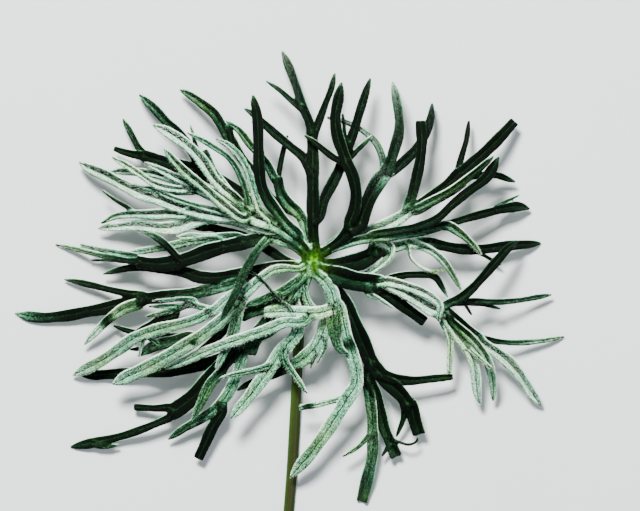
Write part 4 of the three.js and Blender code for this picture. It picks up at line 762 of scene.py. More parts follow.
def draw_lobe(row, lines, random, folding):
    name, parent, widths, heights, roll, ending, silver_and_shade, points = row
    start = start_of(parent, lines, points[0])
    route = [list(start[:2])]
    route += [q for i, q in enumerate(points) if i or np.hypot(*(start[:2] - q)) > TOO_CLOSE]
    flat = curve_through(route)
    length = float(np.linalg.norm(np.diff(flat, axis=0), axis=1).sum())
    run = SHARES * length
    phase = random.uniform(0, 6.28, 3)
    settling = np.clip(run / SETTLING, 0, 1)
    z = between((start[2], *heights), SHARES) + wave(HEIGHT_WAVE, run, phase[0], settling)
    line = np.column_stack([flat, z])
    forward, side, up = directions(line)
    turn = radians(roll) * np.clip(ROLL_GROWTH * SHARES, 0, 1)
    turn = turn + wave(TWIST_WAVE, run, phase[2], settling)
    side = side * np.cos(turn)[:, None] - up * np.sin(turn)[:, None]
    # The digits give the lobe's tone: how silvery its down is, with painted shade and painted cast
    # shadows given as low digits.
    tones = [int(digit) / 9 for digit in silver_and_shade]
    down = np.interp(SHARES, np.linspace(0, 1, len(tones)), tones)
    if ending == "point":
        down = down + PALE_TIP * np.exp((run - length) / PALE_LENGTH)
    mean = float(down.mean())
    lines[name] = line
    return {
        "line": line,
        "side": side,
        "up": np.cross(side, forward),
        "half_width": half_widths(widths, ending, run, length, phase[1]),
        "silver_and_shade": down,
        "length": length,
        "hub": parent == "hub",
        "fold": folding * (random.uniform(*FOLD) + FOLD_OF_SILVER * mean),
        "hump": folding * (HUMP[0] + HUMP[1] * mean),
    }


lines = {}
random = np.random.default_rng(7)
drawn = {
    part: [draw_lobe(row, lines, random, FOLDING[part]) for row in rows]
    for part, rows in LOBES.items()
}
total_length = sum(lobe["length"] for part in drawn.values() for lobe in part)
print("lobes:", len(lines), "with", round(total_length), "mm of middle line")

# %% [markdown]
# ## The blade as a distance field
# Real lobes run into each other without a seam: a fork is webbed, and the surface flows from one
# strip into the next. Separate strips pushed through each other would show a hard line at each
# fork. So each lobe is written as a distance, how far a point in space is from the lobe's skin,
# and two distances are joined by a smooth minimum, which fills the corner between them. The joined
# field is then turned into a mesh where it is zero.
# Cut across, a lobe has a sharp groove over the midrib, two low humps beside it, margins that rise
# or lie flat as the lobe is folded, and a keel below.

# %% The section of a lobe
HALF_THICKNESS = 0.24  # mm
KEEL = 0.16  # mm
KEEL_BREADTH = 0.45  # mm


def section_distance(lobe, x, y, beyond, wide):
    """How far a place is from the skin, where x is across the lobe and y is above it."""
    fold, hump = lobe["fold"], lobe["hump"]
    share = np.minimum(np.abs(x) / wide, 1)
    rise = fold * np.abs(x) + hump * wide * (1 - (2 * share - 1) ** 2)
    slope = fold + 4 * hump * (1 - 2 * share)
    lift = (y - rise) / np.sqrt(1 + slope * slope)
    keel = (lift < 0) * KEEL * np.exp(-((x / KEEL_BREADTH) ** 2)) * np.minimum(wide, 1)
    thick = np.minimum(HALF_THICKNESS, wide) + keel
    past = np.maximum(np.abs(x) - (wide - thick), 0)
    return np.sqrt(past * past + lift * lift + beyond * beyond) - thick


print("a lobe is", 2 * HALF_THICKNESS, "mm thick, and its keel adds", KEEL, "mm")

# %% The distance from one lobe
GRID = 0.25  # mm between places where the field is worked out
REACH = 1.3  # mm round a lobe where its field is worked out
FAR = 2.0  # mm, the distance that is noted where no lobe reaches
STRETCH = 8  # segments that are worked out together
SEGMENT = 0.5  # mm


def box_round(ends, pad, low, shape):
    """The block of cells round a stretch of a lobe, and where its cells lie."""
    first = np.maximum(np.floor((ends.min(0) - pad) / GRID) - low, 0).astype(int)
    last = np.minimum(np.ceil((ends.max(0) + pad) / GRID) - low, shape)
    block = tuple(slice(a, int(b)) for a, b in zip(first, last))
    return block, [(np.arange(s.start, s.stop) + l) * GRID for s, l in zip(block, low)]


def lobe_block(lobe, low, shape):
    """The lobe's field on its own block of cells, as distance, across and sample."""
    count = max(5, int(lobe["length"] / SEGMENT))
    pick = np.round(np.linspace(0, SAMPLES, count + 1)).astype(int)
    line, side, up = (lobe[k][pick].astype(np.float32) for k in ("line", "side", "up"))
    half_width = lobe["half_width"][pick].astype(np.float32)
    distance = np.full(shape, FAR, np.float32)
    across, sample = (np.zeros(shape, np.float32) for _ in range(2))
    for first in range(0, count, STRETCH):
        last = min(first + STRETCH, count)
        ends = line[first : last + 1]
        pad = half_width[first : last + 1].max() + REACH
        block, axes = box_round(ends, (pad, pad, REACH), low, shape)
        if min(len(a) for a in axes) == 0:
            continue
        cells = np.stack(np.meshgrid(*axes, indexing="ij"), axis=-1).reshape(-1, 3)
        cells = cells.astype(np.float32)
        chord = np.diff(ends, axis=0)
        offset = cells[:, None] - line[None, first:last]
        t = np.einsum("nmk,mk->nm", offset, chord) / (chord * chord).sum(1)
        t = np.clip(t, 0, 1)
        offset -= t[..., None] * chord[None]
        nearest = np.einsum("nmk,nmk->nm", offset, offset).argmin(1)
        rows = np.arange(len(cells))
        t, offset = t[rows, nearest], offset[rows, nearest]
        at, to = first + nearest, first + nearest + 1
        s = side[at] * (1 - t)[:, None] + side[to] * t[:, None]
        u = up[at] * (1 - t)[:, None] + up[to] * t[:, None]
        wide = half_width[at] * (1 - t) + half_width[to] * t
        x, y, beyond = ((offset * axis).sum(1) for axis in (s, u, np.cross(s, u)))
        d = section_distance(lobe, x, y, beyond, wide)
        where = pick[at] * (1 - t) + pick[to] * t
        d, x, where = (v.reshape([len(a) for a in axes]) for v in (d, x, where))
        closer = d < distance[block]
        for store, value in ((distance, d), (across, x), (sample, where)):
            store[block][closer] = value[closer]
    return distance, across, sample


print("cells are", GRID, "mm wide; one lobe is worked out in stretches of", STRETCH * SEGMENT, "mm")

# %% [markdown]
# ## Joining the lobes
# The smooth minimum works only round the place where a lobe leaves what carries it. Elsewhere two
# lobes that cross must stay apart, so there the plain minimum is used. Along with the distance the
# grid collects what the finish needs later: how silvery the place is with its painted shade, how
# far it is from the nearest midrib, how far along the lobe, how near to a margin, whether two lobes
# meet there, where shade is painted, and how much of the slope comes from the lobe's own lie, which
# is kept out of the painted light on slopes.

# %% What each cell keeps
FIELDS = {
    "distance": FAR,
    "silver_and_shade": 0.0,
    "weight": 0.0,
    "vein": 1.5,
    "across": 1.5,
    "run": 0.0,
    "margin": 1.0,
    "seam": 0.0,
    "lean": 0.0,
}
WIDEST = 2.2  # mm, about half the width of the widest lobe


def empty_fields(low, high):
    shape = tuple((high - low).astype(int))
    fields = {name: np.full(shape, value, np.float32) for name, value in FIELDS.items()}
    fields["low"] = low.astype(int)
    return fields


def room_for(lobes):
    points = np.vstack([lobe["line"] for lobe in lobes])
    pad = WIDEST + REACH
    return np.floor((points.min(0) - pad) / GRID), np.ceil((points.max(0) + pad) / GRID)


print("each cell keeps", ", ".join(FIELDS))

# %% Join lobes into one field
WEB = 0.45  # mm, size of the webbing at a fork
WEB_REACH = 2.4  # mm from a fork
WEB_HOLD = 1.5  # the web is whole up to this less one times its reach
# Painted light: slopes that face this side are painted lighter, and slopes that face away darker.
PAINTED_LIGHT_SIDE = (0.2, 0.98, 0)  # the side on which the down shines most
SKIN_REACH = 0.4  # mm from a lobe within which its midrib and margin are noted
BLENDING = 0.12  # mm over which one lobe's silver gives way to the next one's
SEAM_BREADTH = 0.14  # share of half the width
SEAM_START = (0.25, 0.6)  # from the midrib outwards, where seams begin and are whole


def smooth_minimum(first, second, web):
    """The smaller of two distances, with the corner between them filled."""
    overlap = np.clip(web - np.abs(first - second), 0, None) / web
    return np.minimum(first, second) - overlap**2 * web / 4


def web_round(start, low, high):
    """The size of the web at each cell, which shrinks away from the place of a fork."""
    axes = [np.arange(a, b) * GRID - j for a, b, j in zip(low, high, start)]
    x, y, z = np.meshgrid(*axes, indexing="ij", sparse=True)
    apart = np.sqrt(x * x + y * y + z * z)
    return WEB * np.clip(WEB_HOLD - apart / WEB_REACH, 0, 1)


def add_lobe(fields, lobe, web_everywhere=False):
    low, high = room_for([lobe])
    low = np.maximum(low, fields["low"]).astype(int)
    high = np.minimum(high, fields["low"] + fields["distance"].shape).astype(int)
    box = tuple(slice(a, b) for a, b in zip(low - fields["low"], high - fields["low"]))
    d, across, sample = lobe_block(lobe, low, tuple(high - low))
    web = (WEB if web_everywhere else web_round(lobe["line"][0], low, high)) + 1e-4
    steps = np.arange(SAMPLES + 1)
    closer = d < fields["distance"][box]
    own = {
        "lean": np.interp(sample, steps, lobe["up"] @ PAINTED_LIGHT_SIDE),
        "run": sample * lobe["length"] / SAMPLES,
    }
    for name, value in own.items():
        fields[name][box] = np.where(closer, value, fields[name][box])
    fields["distance"][box] = smooth_minimum(fields["distance"][box], d, web)
    weight = np.exp(-np.clip(d, -0.2, 1) / BLENDING) * (d < 1)
    fields["silver_and_shade"][box] += weight * np.interp(sample, steps, lobe["silver_and_shade"])
    fields["weight"][box] += weight
    vein, margin, seam = (fields[name][box] for name in ("vein", "margin", "seam"))
    near = d < SKIN_REACH
    own_margin = np.abs(across) / np.interp(sample, steps, lobe["half_width"])
    both = near & (margin < 1)
    edge = np.exp(-(((own_margin - margin) / SEAM_BREADTH) ** 2))
    edge = edge * np.interp(np.minimum(own_margin, margin), SEAM_START, (0, 1))
    seam[both] = np.maximum(seam[both], edge[both])
    nearer = near & (np.abs(across) < vein)
    fields["across"][box] = np.where(nearer, across, fields["across"][box])
    vein[nearer] = np.abs(across[nearer])
    margin[near] = np.minimum(margin[near], own_margin[near])


def join_lobes(lobes):
    fields = empty_fields(*room_for(lobes))
    for lobe in lobes:
        add_lobe(fields, lobe)
    return fields


print("lobes are webbed up to", round(WEB_REACH * WEB_HOLD, 1), "mm from a fork")

# %% [markdown]
# ## From the field to a mesh
# OpenVDB finds where the field is zero and returns a closed skin of quads. The numbers that the
# grid collected are read back at each point of that skin and stored on the mesh as attributes.
# A few small places differ from the rest of the leaf: a fresh green heart, one fresh green lobe end
# and white tufts round the hub. They are written as soft spots by their centre and reach.

# %% Read the field back
SMALLEST_BODY = 300  # points; less than this is a scrap
FRESH = (((0.4, 0.3), (1.0, 1.9)), ((27.9, -1.95), (2.0, 0.75)))  # centre and reach, mm
TUFTS = (((-1.0, -2.0), (0.9, 0.9)), ((-0.3, 3.4), (0.35, 1.0)), ((-3.1, -0.1), (0.6, 0.3)))
YOUNG_REACH = 3.2  # mm round the hub in which the green is warmer
FRESH_BASES = 0.35  # how fresh the green is where the rays begin
UNDERSIDE = (-0.24, 0.06)  # upward part of the normal: all underside, all upper side


def read_back(field, places):
    """The field's value at places between its cells."""
    top = np.array(field.shape) - 2
    base = np.clip(np.floor(places).astype(int), 0, top)
    part = np.clip(places - base, 0, 1)
    value = 0
    for corner in np.ndindex(2, 2, 2):
        weight = np.prod(np.where(corner, part, 1 - part), axis=1)
        value = value + weight * field[tuple((base + corner).T)]
    return value


def spots(flat, list_of, power):
    """How near each place is to the middle of a soft spot."""
    return sum(np.exp(-(((flat - middle) / reach) ** power).sum(1)) for middle, reach in list_of)


def marks_of(fields, places, points, normal):
    """The numbers that the finish reads, for each point of a skin."""
    at = {name: read_back(fields[name], places) for name in FIELDS if name != "distance"}
    flat = points[:, :2]
    near = np.exp(-((flat / YOUNG_REACH) ** 2).sum(1))
    silver_and_shade = at["silver_and_shade"] / (at["weight"] + 1e-6) + spots(flat, TUFTS, 2)
    made = {name: at[name] for name in ("vein", "across", "run", "margin", "seam")}
    return made | {
        "silver_and_shade": np.clip(silver_and_shade, 0, 1),
        "turned_to_light": normal @ PAINTED_LIGHT_SIDE - at["lean"],
        "upper": np.interp(normal[:, 2], UNDERSIDE, (0, 1)),
        "heart": np.maximum(spots(flat, FRESH, 4), FRESH_BASES * near),
        "near": near,
    }


# %% Turn a field into a mesh
def bodies_of(count, faces):
    """A label for each point, alike for the points of one connected body."""
    label = np.arange(count)
    while True:
        lowest = label[faces].min(1)
        new = label.copy()
        for corner in range(faces.shape[1]):
            np.minimum.at(new, faces[:, corner], lowest)
        new = new[new]
        if (new == label).all():
            return label
        label = new


def mesh_object(name, points, faces, finish, smooth=True):
    """An object from points in millimetres from the hub."""
    mesh = bpy.data.meshes.new(name)
    mesh.from_pydata(points * MM + np.array(HUB), [], faces)
    mesh.polygons.foreach_set("use_smooth", [smooth] * len(faces))
    mesh.materials.append(finish)
    piece = bpy.data.objects.new(name, mesh)
    bpy.context.collection.objects.link(piece)
    return piece


def note_numbers(piece, numbers):
    for name, values in numbers.items():
        made = piece.data.attributes.new(name, "FLOAT", "POINT")
        made.data.foreach_set("value", np.asarray(values, np.float32))


def numbers_of(rows, key, width=1):
    """The numbers that Blender keeps under key, with width of them in each row."""
    numbers = np.empty(len(rows) * width, np.float32)
    rows.foreach_get(key, numbers)
    return numbers.reshape(-1, width).squeeze()


def skin(name, fields, finish):
    distance = fields["distance"]
    height = (np.arange(distance.shape[2]) + fields["low"][2]) * GRID
    distance = np.maximum(distance, -height[None, None, :].astype(np.float32))
    grid = openvdb.FloatGrid(FAR)
    grid.copyFromArray(distance)
    places, quads = grid.convertToQuads(0.0)
    quads = quads.astype(np.int64)
    label = bodies_of(len(places), quads)
    sizes = np.bincount(label, minlength=len(places))
    kept = sizes[label] >= SMALLEST_BODY
    quads = (np.cumsum(kept) - 1)[quads[kept[quads[:, 0]]]]
    places = places[kept]
    points = (places + fields["low"]) * GRID
    piece = mesh_object(name, points, quads, finish)
    normal = numbers_of(piece.data.vertex_normals, "vector", 3)
    note_numbers(piece, marks_of(fields, places, points, normal))
    print(name, 2 * len(quads), "triangles;", (points.max(0) - points.min(0)).round(1), "mm")
    return piece


# %% [markdown]
# ## The downy finish
# The leaf is dark green, and short flat hairs make it silvery. Where they lie thick the surface is
# nearly white, and where they are few it is bare dark green. So one number, the share of down with
# painted light and shade added to it, is worked out for each spot and is then made into a colour.
# It starts from how silvery the lobe is, where low values also hold painted shade, and painted light
# makes it grow on slopes that face the top of the blade and shrink on those that face away. Patches
# and the midrib change it softly, the midrib partly as the bare vein and partly as painted shade in
# its groove, and the seams between lobes darken it as painted shade. Specks and streaks along the
# lobe, and glints and a bright line along the margin as painted highlights, are added last, so that
# they show on white lobes too.

# %% Measures and colours of the down, and of the light and shade painted on it
SPECK = 0.24  # mm
SPARK = 0.42  # mm
STREAK_WIDTH = 0.22  # mm
STREAK_LENGTH = 2.2  # mm
PATCH = 3.2  # mm
DRIFT = 11  # mm, size of the warmer and cooler parts of the green
VEIN_SLACK = 0.12  # mm, so that the jump between two lobes isn't taken for a midrib
MIDRIB_EDGE = (0.04, 0.18)  # mm from the middle line
RIM_EDGE = (0.76, 0.9)  # share of half the width

# How strong each mark is where the leaf is bare, and where it is white with down.
# Painted light and shade on slopes that face towards or away from the top of the blade.
PAINTED_SLOPE_LIGHT = (0.34, 0.74)
# The midrib: light on a dark lobe, and dark on a white one, partly as the bare vein and partly as
# painted shade in its groove.
MIDRIB = (0.27, -0.41)
# Painted shade where the margins of two lobes meet.
SEAM_SHADE = (0.0, -0.5)
SPECKS = (0.08, 0.36)
STREAKS = (0.06, 0.21)
# Painted highlights: glints on the down.
GLINTS = (0.0, 0.15)

DOWN_CURVE = 1.15  # power on the lobe's silver
DOWN_SHARE = 0.64  # share of down on the whitest lobe, before the marks
DOWN_MOST = 0.8  # most that there may be before the specks are added
DOWN_LEAST = 0.02
CLOUDS = 0.14  # strength of the patches
SPECK_MIDDLE = 0.4  # specks above it lighten the leaf, and those below it darken it
# The bright line along the margins is a painted highlight, stronger on margins that face the top of the
# blade.
RIM_LIGHT = 0.75  # on a slope that faces the shining side
RIM_PLAIN = 0.12  # on any other

# Between which values of its noise each mark comes in.
SPECK_RISE = (0.4, 0.62)
STREAK_RISE = (0.38, 0.62)
GLINT_RISE = (0.56, 0.64)
WARM_RISE = (0.44, 0.76)
BARE_WARMTH = 0.8  # warmth of a midrib where there is no silver

SHEEN_SHARE = 0.35  # how much of the upper side's colour the underside keeps
ROUGH = (0.45, 0.9)  # bare leaf, and leaf under down
RELIEF = 0.18  # mm
FRESH_GRAIN = 0.7  # mm

COOL = {0: "#010402", 0.2: "#020e05", 0.4: "#173824", 0.58: "#457f60", 0.78: "#74c69c", 1: "#eafff3"}
WARM = {0: "#010401", 0.2: "#031003", 0.4: "#1f401d", 0.58: "#59874f", 0.78: "#90ca86", 1: "#f0ffe8"}
FRESH_GREEN = {0.36: "#1b4a00", 0.52: "#3a7403", 0.7: "#6fa51c"}
UNDER_DARK, UNDER_PALE, UNDER_MIDRIB = "#5f7f58", "#8da585", "#a9bb90"
print("down goes from", COOL[0], "to", COOL[1])

# %% How much down lies at each spot, with painted light and shade added to it
downy_with_painted_light = material("downy_leaf")
tree = downy_with_painted_light.node_tree
silver_and_shade, seam, turned_to_light = (measured(tree, name) for name in ("silver_and_shade", "seam", "turned_to_light"))
across = measured(tree, "across")
vein = maths("MAXIMUM", measured(tree, "vein") - VEIN_SLACK, maths("ABSOLUTE", across))
groove = spread(vein, *MIDRIB_EDGE, at_low=1.0, at_high=0.0)
rim_highlight = spread(measured(tree, "margin"), *RIM_EDGE)
specks = spread(grain(tree, SPECK, detail=2, roughness=0.6), *SPECK_RISE)
along = {"X": across / STREAK_WIDTH, "Y": measured(tree, "run") / STREAK_LENGTH}
along = {"Vector": node(tree, "ShaderNodeCombineXYZ", along), "Scale": 1.0, "Detail": 2.0}
streaks = spread(node(tree, "ShaderNodeTexNoise", along), *STREAK_RISE, at_low=-0.4, at_high=0.6)
glints = spread(grain(tree, SPARK, detail=1), *GLINT_RISE)
patches = grain(tree, PATCH, detail=2)


# The strength of a mark, from its value on a dark lobe (bare leaf in part, painted shade in part) to
# its value on a white one.
def by_silver_and_shade(bare, white):
    return silver_and_shade * (white - bare) + bare


# The share starts from the lobe's tone, which holds painted shade as well as down.
down = silver_and_shade**DOWN_CURVE * DOWN_SHARE
# Painted light and shade: lighter on slopes that face the top of the blade, darker on those that face
# away.
down = down + turned_to_light * by_silver_and_shade(*PAINTED_SLOPE_LIGHT)
down = down + (patches - 0.5) * CLOUDS
# The midrib: lighter on dark lobes; on white lobes darker, partly as the bare vein and partly as
# painted shade in its groove.
down = down + groove * by_silver_and_shade(*MIDRIB)
# Painted shade where the margins of two lobes meet.
down = down + seam * by_silver_and_shade(*SEAM_SHADE)
down = maths("MINIMUM", down + DOWN_LEAST, DOWN_MOST) - DOWN_LEAST
down = down + (specks - SPECK_MIDDLE) * by_silver_and_shade(*SPECKS)
down = down + streaks * by_silver_and_shade(*STREAKS)
# Painted highlights: small glints on the down.
down = down + glints * by_silver_and_shade(*GLINTS)
# Painted highlight: a bright line along the margins, brightest where the margin faces the top of the
# blade.
facing = maths("MAXIMUM", turned_to_light, 0.0)
down = maths("ADD", down, rim_highlight * (facing * RIM_LIGHT + RIM_PLAIN), clamp=True)

# %% Turn the down, with its painted light and shade, into colour, gloss and relief
drift = spread(grain(tree, DRIFT, detail=1), *WARM_RISE)
warmth = maths("MAXIMUM", drift, measured(tree, "near"))
bare_midrib = groove * (silver_and_shade * -1.0 + BARE_WARMTH)
warmth = maths("MAXIMUM", warmth, bare_midrib, clamp=True)
upper_colour = mixed(warmth, ramp(down, COOL), ramp(down, WARM))
under = mixed(patches, colour(UNDER_DARK), colour(UNDER_PALE))
under = mixed(groove * 0.8, under, colour(UNDER_MIDRIB))
under = mixed(SHEEN_SHARE, under, upper_colour)
leaf_colour = mixed(measured(tree, "upper"), under, upper_colour)
fresh = ramp(grain(tree, FRESH_GRAIN, detail=2), FRESH_GREEN)
leaf_colour = mixed(measured(tree, "heart"), leaf_colour, fresh)
dullness = spread(down, 0.0, 1.0, *ROUGH)
relief = {"Height": specks * 0.5 - groove * silver_and_shade, "Strength": 0.8, "Distance": RELIEF * MM}
bump = node(tree, "ShaderNodeBump", relief)
show(tree, Base_Color=leaf_colour, Roughness=dullness, Normal=bump, Specular_IOR_Level=0.04)

# %% [markdown]
# ## The blade
# Each group of rays is joined and skinned by itself, so that no mesh grows too heavy. The groups
# overlap only in the heart of the leaf, which has a skin of its own over them.

# %% Grow the blade
blades = []
for part, lobes in drawn.items():
    piece = skin("blade_" + part, join_lobes(lobes), downy_with_painted_light)
    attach(piece, "root")
    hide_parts("leaf_blade")
    blades.append(piece)

# %% [markdown]
# ## The heart of the leaf
# All rays meet in a small yellow-green knob over the end of the stalk. It is joined from the first
# few millimetres of each ray, a flat pad, and the short neck that leads down to the stalk.

# %% Grow the heart
HEART_CENTRE = np.array([0.2, -0.5, 16.6])
HEART_RADIUS = np.array([1.8, 1.8, 0.85])
HEART_FLOOR = 11  # mm above the table, under the end of the neck
NECK_ROUTE = np.array([[0.2, -0.6, 16.2], [-0.5, -2.2, 14.9], [-1.3, -3.9, 13.7]])
PAD_WEB = 0.8  # mm
NECK_WEB = 1.5  # mm
STALK_RADIUS = 1.2
NECK_PLAY = 0.05  # mm that the neck is slimmer than the stalk
STUB_LENGTH = 4.0  # mm
COVER = 0.07  # mm that the heart stands proud of the rays


def stub_of(lobe):
    """The first few millimetres of a ray."""
    steps = np.linspace(0, SAMPLES * min(1, STUB_LENGTH / lobe["length"]), SAMPLES + 1)
    whole = np.arange(SAMPLES + 1)
    stub = dict(lobe, length=STUB_LENGTH)
    for key in ("line", "side", "up", "half_width", "silver_and_shade"):
        values = lobe[key].reshape(SAMPLES + 1, -1)
        values = np.stack([np.interp(steps, whole, column) for column in values.T], axis=1)
        stub[key] = values.reshape(lobe[key].shape)
    return stub


def tube_distance(cells, route, radius):
    nearest = np.full(cells.shape[:-1], FAR)
    for a, b in zip(route[:-1], route[1:]):
        t = np.clip(((cells - a) @ (b - a)) / ((b - a) @ (b - a)), 0, 1)
        nearest = np.minimum(nearest, np.linalg.norm(cells - a - t[..., None] * (b - a), axis=-1))
    return nearest - radius


stubs = [stub_of(lobe) for lobes in drawn.values() for lobe in lobes if lobe["hub"]]
low, high = room_for(stubs)
low[2] = np.floor(HEART_FLOOR / GRID)
heart = empty_fields(low, high)
for stub in stubs:
    add_lobe(heart, stub, web_everywhere=True)
axes = [(np.arange(n) + a) * GRID for n, a in zip(heart["distance"].shape, heart["low"])]
cells = np.stack(np.meshgrid(*axes, indexing="ij"), axis=-1)
pad = (np.linalg.norm((cells - HEART_CENTRE) / HEART_RADIUS, axis=-1) - 1) * HEART_RADIUS[2]
neck = tube_distance(cells, NECK_ROUTE, STALK_RADIUS - NECK_PLAY)
knob = smooth_minimum(heart["distance"], pad, PAD_WEB)
knob = smooth_minimum(knob, neck, NECK_WEB)
from_centre = np.linalg.norm(cells[..., :2] - HEART_CENTRE[:2], axis=-1)
heart["distance"] = (knob - COVER * (1 - from_centre / STUB_LENGTH)).astype(np.float32)
piece = skin("blade_heart", heart, downy_with_painted_light)
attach(piece, "root")
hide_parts("leaf_blade")

# %% [markdown]
# ## The stalk
# The leaf stalk is a firm tube with low ribs that wind slowly round it. A section with ribs is
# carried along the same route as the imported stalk, which is quicker and more even than a field. It
# ends in a plain cut, where the pale pith shows inside the darker skin.

# %% The form of the stalk
STALK_ROUTE = [
    [-1.3, -3.9, 13.7], [-2.1, -6.6, 11.9], [-2.6, -10, 9.8], [-2.8, -14, 7.6], [-3.0, -19, 5.2],
    [-3.3, -25, 3.2], [-3.6, -31, 1.9], [-3.95, -38, 1.2], [-4.35, -45, 1], [-4.9, -52, 1],
    [-5.8, -62, 1], [-7.1, -75, 1], [-8.5, -88, 1], [-9.6, -98, 1],
]
EVENING = 9  # samples over which the heights are evened
AROUND = 60  # points round the stalk
RIBS = 9
RIB_DEPTH = 0.045  # share of the radius
RIB_TWIST = 0.012  # radians for each mm
STALK_LENGTH = 100  # mm, rounded
SWELL = (0.03, 5)  # share of the radius, and mm along the stalk for each radian
PITH = 0.72  # share of the radius
PITH_DEPTH = 0.25  # mm that the cut is hollow


def stalk_rings():
    """The rings of points along the stalk, and its middle line with the last direction."""
    flat = curve_through([p[:2] for p in STALK_ROUTE])
    marks = [np.hypot(*(flat - p[:2]).T).argmin() / SAMPLES for p in STALK_ROUTE]
    z = np.interp(SHARES, marks, [p[2] for p in STALK_ROUTE])
    z = np.convolve(np.pad(z, EVENING // 2, mode="edge"), np.ones(EVENING) / EVENING, mode="valid")
    line = np.column_stack([flat, z])
    forward, side, up = directions(line)
    along = SHARES[:, None] * STALK_LENGTH
    angle = np.linspace(0, 2 * np.pi, AROUND, endpoint=False)
    radius = STALK_RADIUS * (1 + RIB_DEPTH * np.cos(RIBS * angle[None] + RIB_TWIST * along))
    radius = radius * (1 - SWELL[0] + wave(SWELL, along, 0))
    out = side[:, None] * np.cos(angle)[:, None] + up[:, None] * np.sin(angle)[:, None]
    return line[:, None] + out * radius[..., None], line, forward[-1], angle


def stalk_mesh(finish):
    rings, line, onward, angle = stalk_rings()
    inner = rings[-1] * PITH + line[-1] * (1 - PITH)
    hollow = line[-1] - PITH_DEPTH * onward
    points = np.vstack([rings.reshape(-1, 3), inner, hollow[None], line[0][None]])
    points[:, 2] = np.maximum(points[:, 2], 0)
    rows = SAMPLES + 1
    centre, start = (rows + 1) * AROUND, (rows + 1) * AROUND + 1
    faces = []
    for j in range(AROUND):
        k = (j + 1) % AROUND
        for low in range(0, rows * AROUND, AROUND):
            faces.append((low + AROUND + j, low + AROUND + k, low + k, low + j))
        faces.append((centre, rows * AROUND + k, rows * AROUND + j))
        faces.append((start, j, k))
    piece = mesh_object("petiole_skin", points, faces, finish)
    end = np.ones(AROUND + 2)
    numbers = {
        "side": [np.tile(np.cos(angle), rows), 0 * end],
        "run": [np.repeat(SHARES, AROUND), end],
        "cut": [np.zeros(rows * AROUND), end],
    }
    note_numbers(piece, {name: np.concatenate(both) for name, both in numbers.items()})
    print("stalk:", 2 * len(faces) - 2 * AROUND, "triangles")
    return piece


# %% Colour the stalk and grow it
STALK_BLOTCH = 2.2  # mm
STALK_GRAIN = 0.3  # mm
STRIPE_START = (0.05, 0.4)  # share of the length over which the brownish stripe comes in
STRIPE = {0.02: "#092003", 0.3: "#151f03", 0.52: "#1b1803", 0.72: "#162403", 0.98: "#1c3c05"}
GREEN = {0.02: "#0f2806", 0.5: "#253c08", 0.98: "#34580f"}
STALK_HAZE, PITH_COLOUR = "#93a562", "#c3cf9d"

stalk_finish = material("ribbed_stalk")
tree = stalk_finish.node_tree
blotches = grain(tree, STALK_BLOTCH, detail=3)
fine = grain(tree, STALK_GRAIN, detail=2)
across = (measured(tree, "side") + (blotches - 0.5) * 0.5) * 0.5 + 0.5
striped = spread(measured(tree, "run"), *STRIPE_START)
stalk_colour = mixed(striped, ramp(across, GREEN), ramp(across, STRIPE))
stalk_colour = mixed(fine * 0.06, stalk_colour, colour(STALK_HAZE))
stalk_colour = mixed(measured(tree, "cut"), stalk_colour, colour(PITH_COLOUR))
bump = node(tree, "ShaderNodeBump", {"Height": fine, "Strength": 0.3, "Distance": 0.05 * MM})
show(tree, Base_Color=stalk_colour, Roughness=0.55, Normal=bump, Specular_IOR_Level=0.08)

stalk = stalk_mesh(stalk_finish)
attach(stalk, "root")
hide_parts("petiole")

# %% [markdown]
# ## The down
# The down on a real leaf is short flat hairs that point to the tip of the lobe. Particle hair would
# be quick to set, but it isn't part of an exported model. So each hair here is a slim three-sided
# spike, closed and sunk a little into the skin. They are drawn from a seeded list, more of them
# where the lobe is silvery.

# %% The form of the hairs
HAIRS = 24000
HAIR_LENGTH = (0.25, 0.5)  # mm
HAIR_RADIUS = 0.024  # mm
HAIR_LEAN = (0.35, 0.9)  # rise away from the skin, against one along it
HAIR_STRAY = 0.35  # how far hairs point beside the way to the tip
HAIR_SUNK = 0.06  # mm
BARE_CHANCE = 0.01  # of a hair where the leaf is bare, against one where it is white
LOWEST_HAIR = 0.6  # mm above the table
TRIANGLE = ((1, 0), (-0.5, 0.866), (-0.5, -0.866))
SPIKE_FACES = ((0, 1, 3), (1, 2, 3), (2, 0, 3), (0, 2, 1))
HAIR_DARK, HAIR_PALE = "#14271b", "#e9f2e6"

hair_finish = material("pale_hair_painted_shade")
tree = hair_finish.node_tree
# Hairs take the lobe's tone, so they are dark on dark lobes, whose tone is bare leaf in part and
# painted shade in part.
tint = mixed(measured(tree, "silver_and_shade") ** 2, colour(HAIR_DARK), colour(HAIR_PALE))
show(tree, Base_Color=tint, Roughness=0.5)


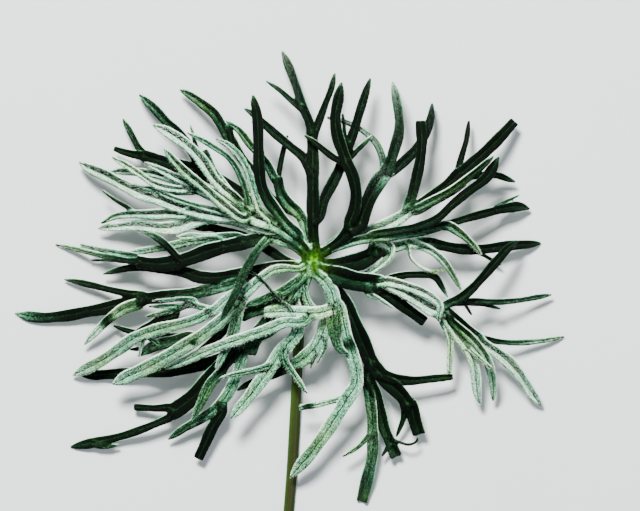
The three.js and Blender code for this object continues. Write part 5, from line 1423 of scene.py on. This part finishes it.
def spikes(root, out):
    """The points and faces of one spike on each root."""
    wanted = len(root)
    tipward = unit(np.column_stack([root[:, 0], root[:, 1], np.zeros(wanted)]), 1e-6)
    tipward += random.normal(0, HAIR_STRAY, (wanted, 3))
    tipward -= (tipward * out).sum(1)[:, None] * out
    lean = random.uniform(*HAIR_LEAN, wanted)[:, None]
    along = unit(unit(tipward, 1e-6) + lean * out)
    first = unit(np.cross(along, out), 1e-6)
    second = np.cross(along, first)
    long = random.uniform(*HAIR_LENGTH, wanted)[:, None]
    base = root - HAIR_SUNK * along
    corners = [base + HAIR_RADIUS * (first * c + second * s) for c, s in TRIANGLE]
    points = np.stack([*corners, root + long * along], axis=1).reshape(-1, 3)
    index = 4 * np.arange(wanted)[:, None]
    return points, np.vstack([index + face for face in SPIKE_FACES])


# %% Set the hairs
points_total = sum(len(piece.data.vertices) for piece in blades)
for piece in blades:
    place = (numbers_of(piece.data.vertices, "co", 3) - np.array(HUB)) / MM
    normal = numbers_of(piece.data.vertex_normals, "vector", 3)
    # The lobe's tone, which holds its painted shade as well as its down, sets the chance of a hair and
    # its colour.
    silver_and_shade_there = numbers_of(piece.data.attributes["silver_and_shade"].data, "value")
    wanted = int(HAIRS * len(place) / points_total)
    chance = (BARE_CHANCE + silver_and_shade_there**2) * (normal[:, 2] > -0.2) * (place[:, 2] > LOWEST_HAIR)
    picked = random.choice(len(place), wanted, replace=False, p=chance / chance.sum())
    points, faces = spikes(place[picked], normal[picked])
    name = piece.name.replace("blade", "down")
    hairs = mesh_object(name, points, faces, hair_finish, smooth=False)
    note_numbers(hairs, {"silver_and_shade": np.repeat(silver_and_shade_there[picked], 4)})
    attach(hairs, "root")
    print(hairs.name, len(faces), "triangles")

# %% [markdown]
# ## The sizes at the end
# The box of the imported leaf and the box of the finished one are both printed.

# %% Write the sizes and finish
dressed_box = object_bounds()
for name, box in (("packed", packed_box), ("dressed", dressed_box)):
    print(name, [[round(1000 * v, 2) for v in corner] for corner in box])
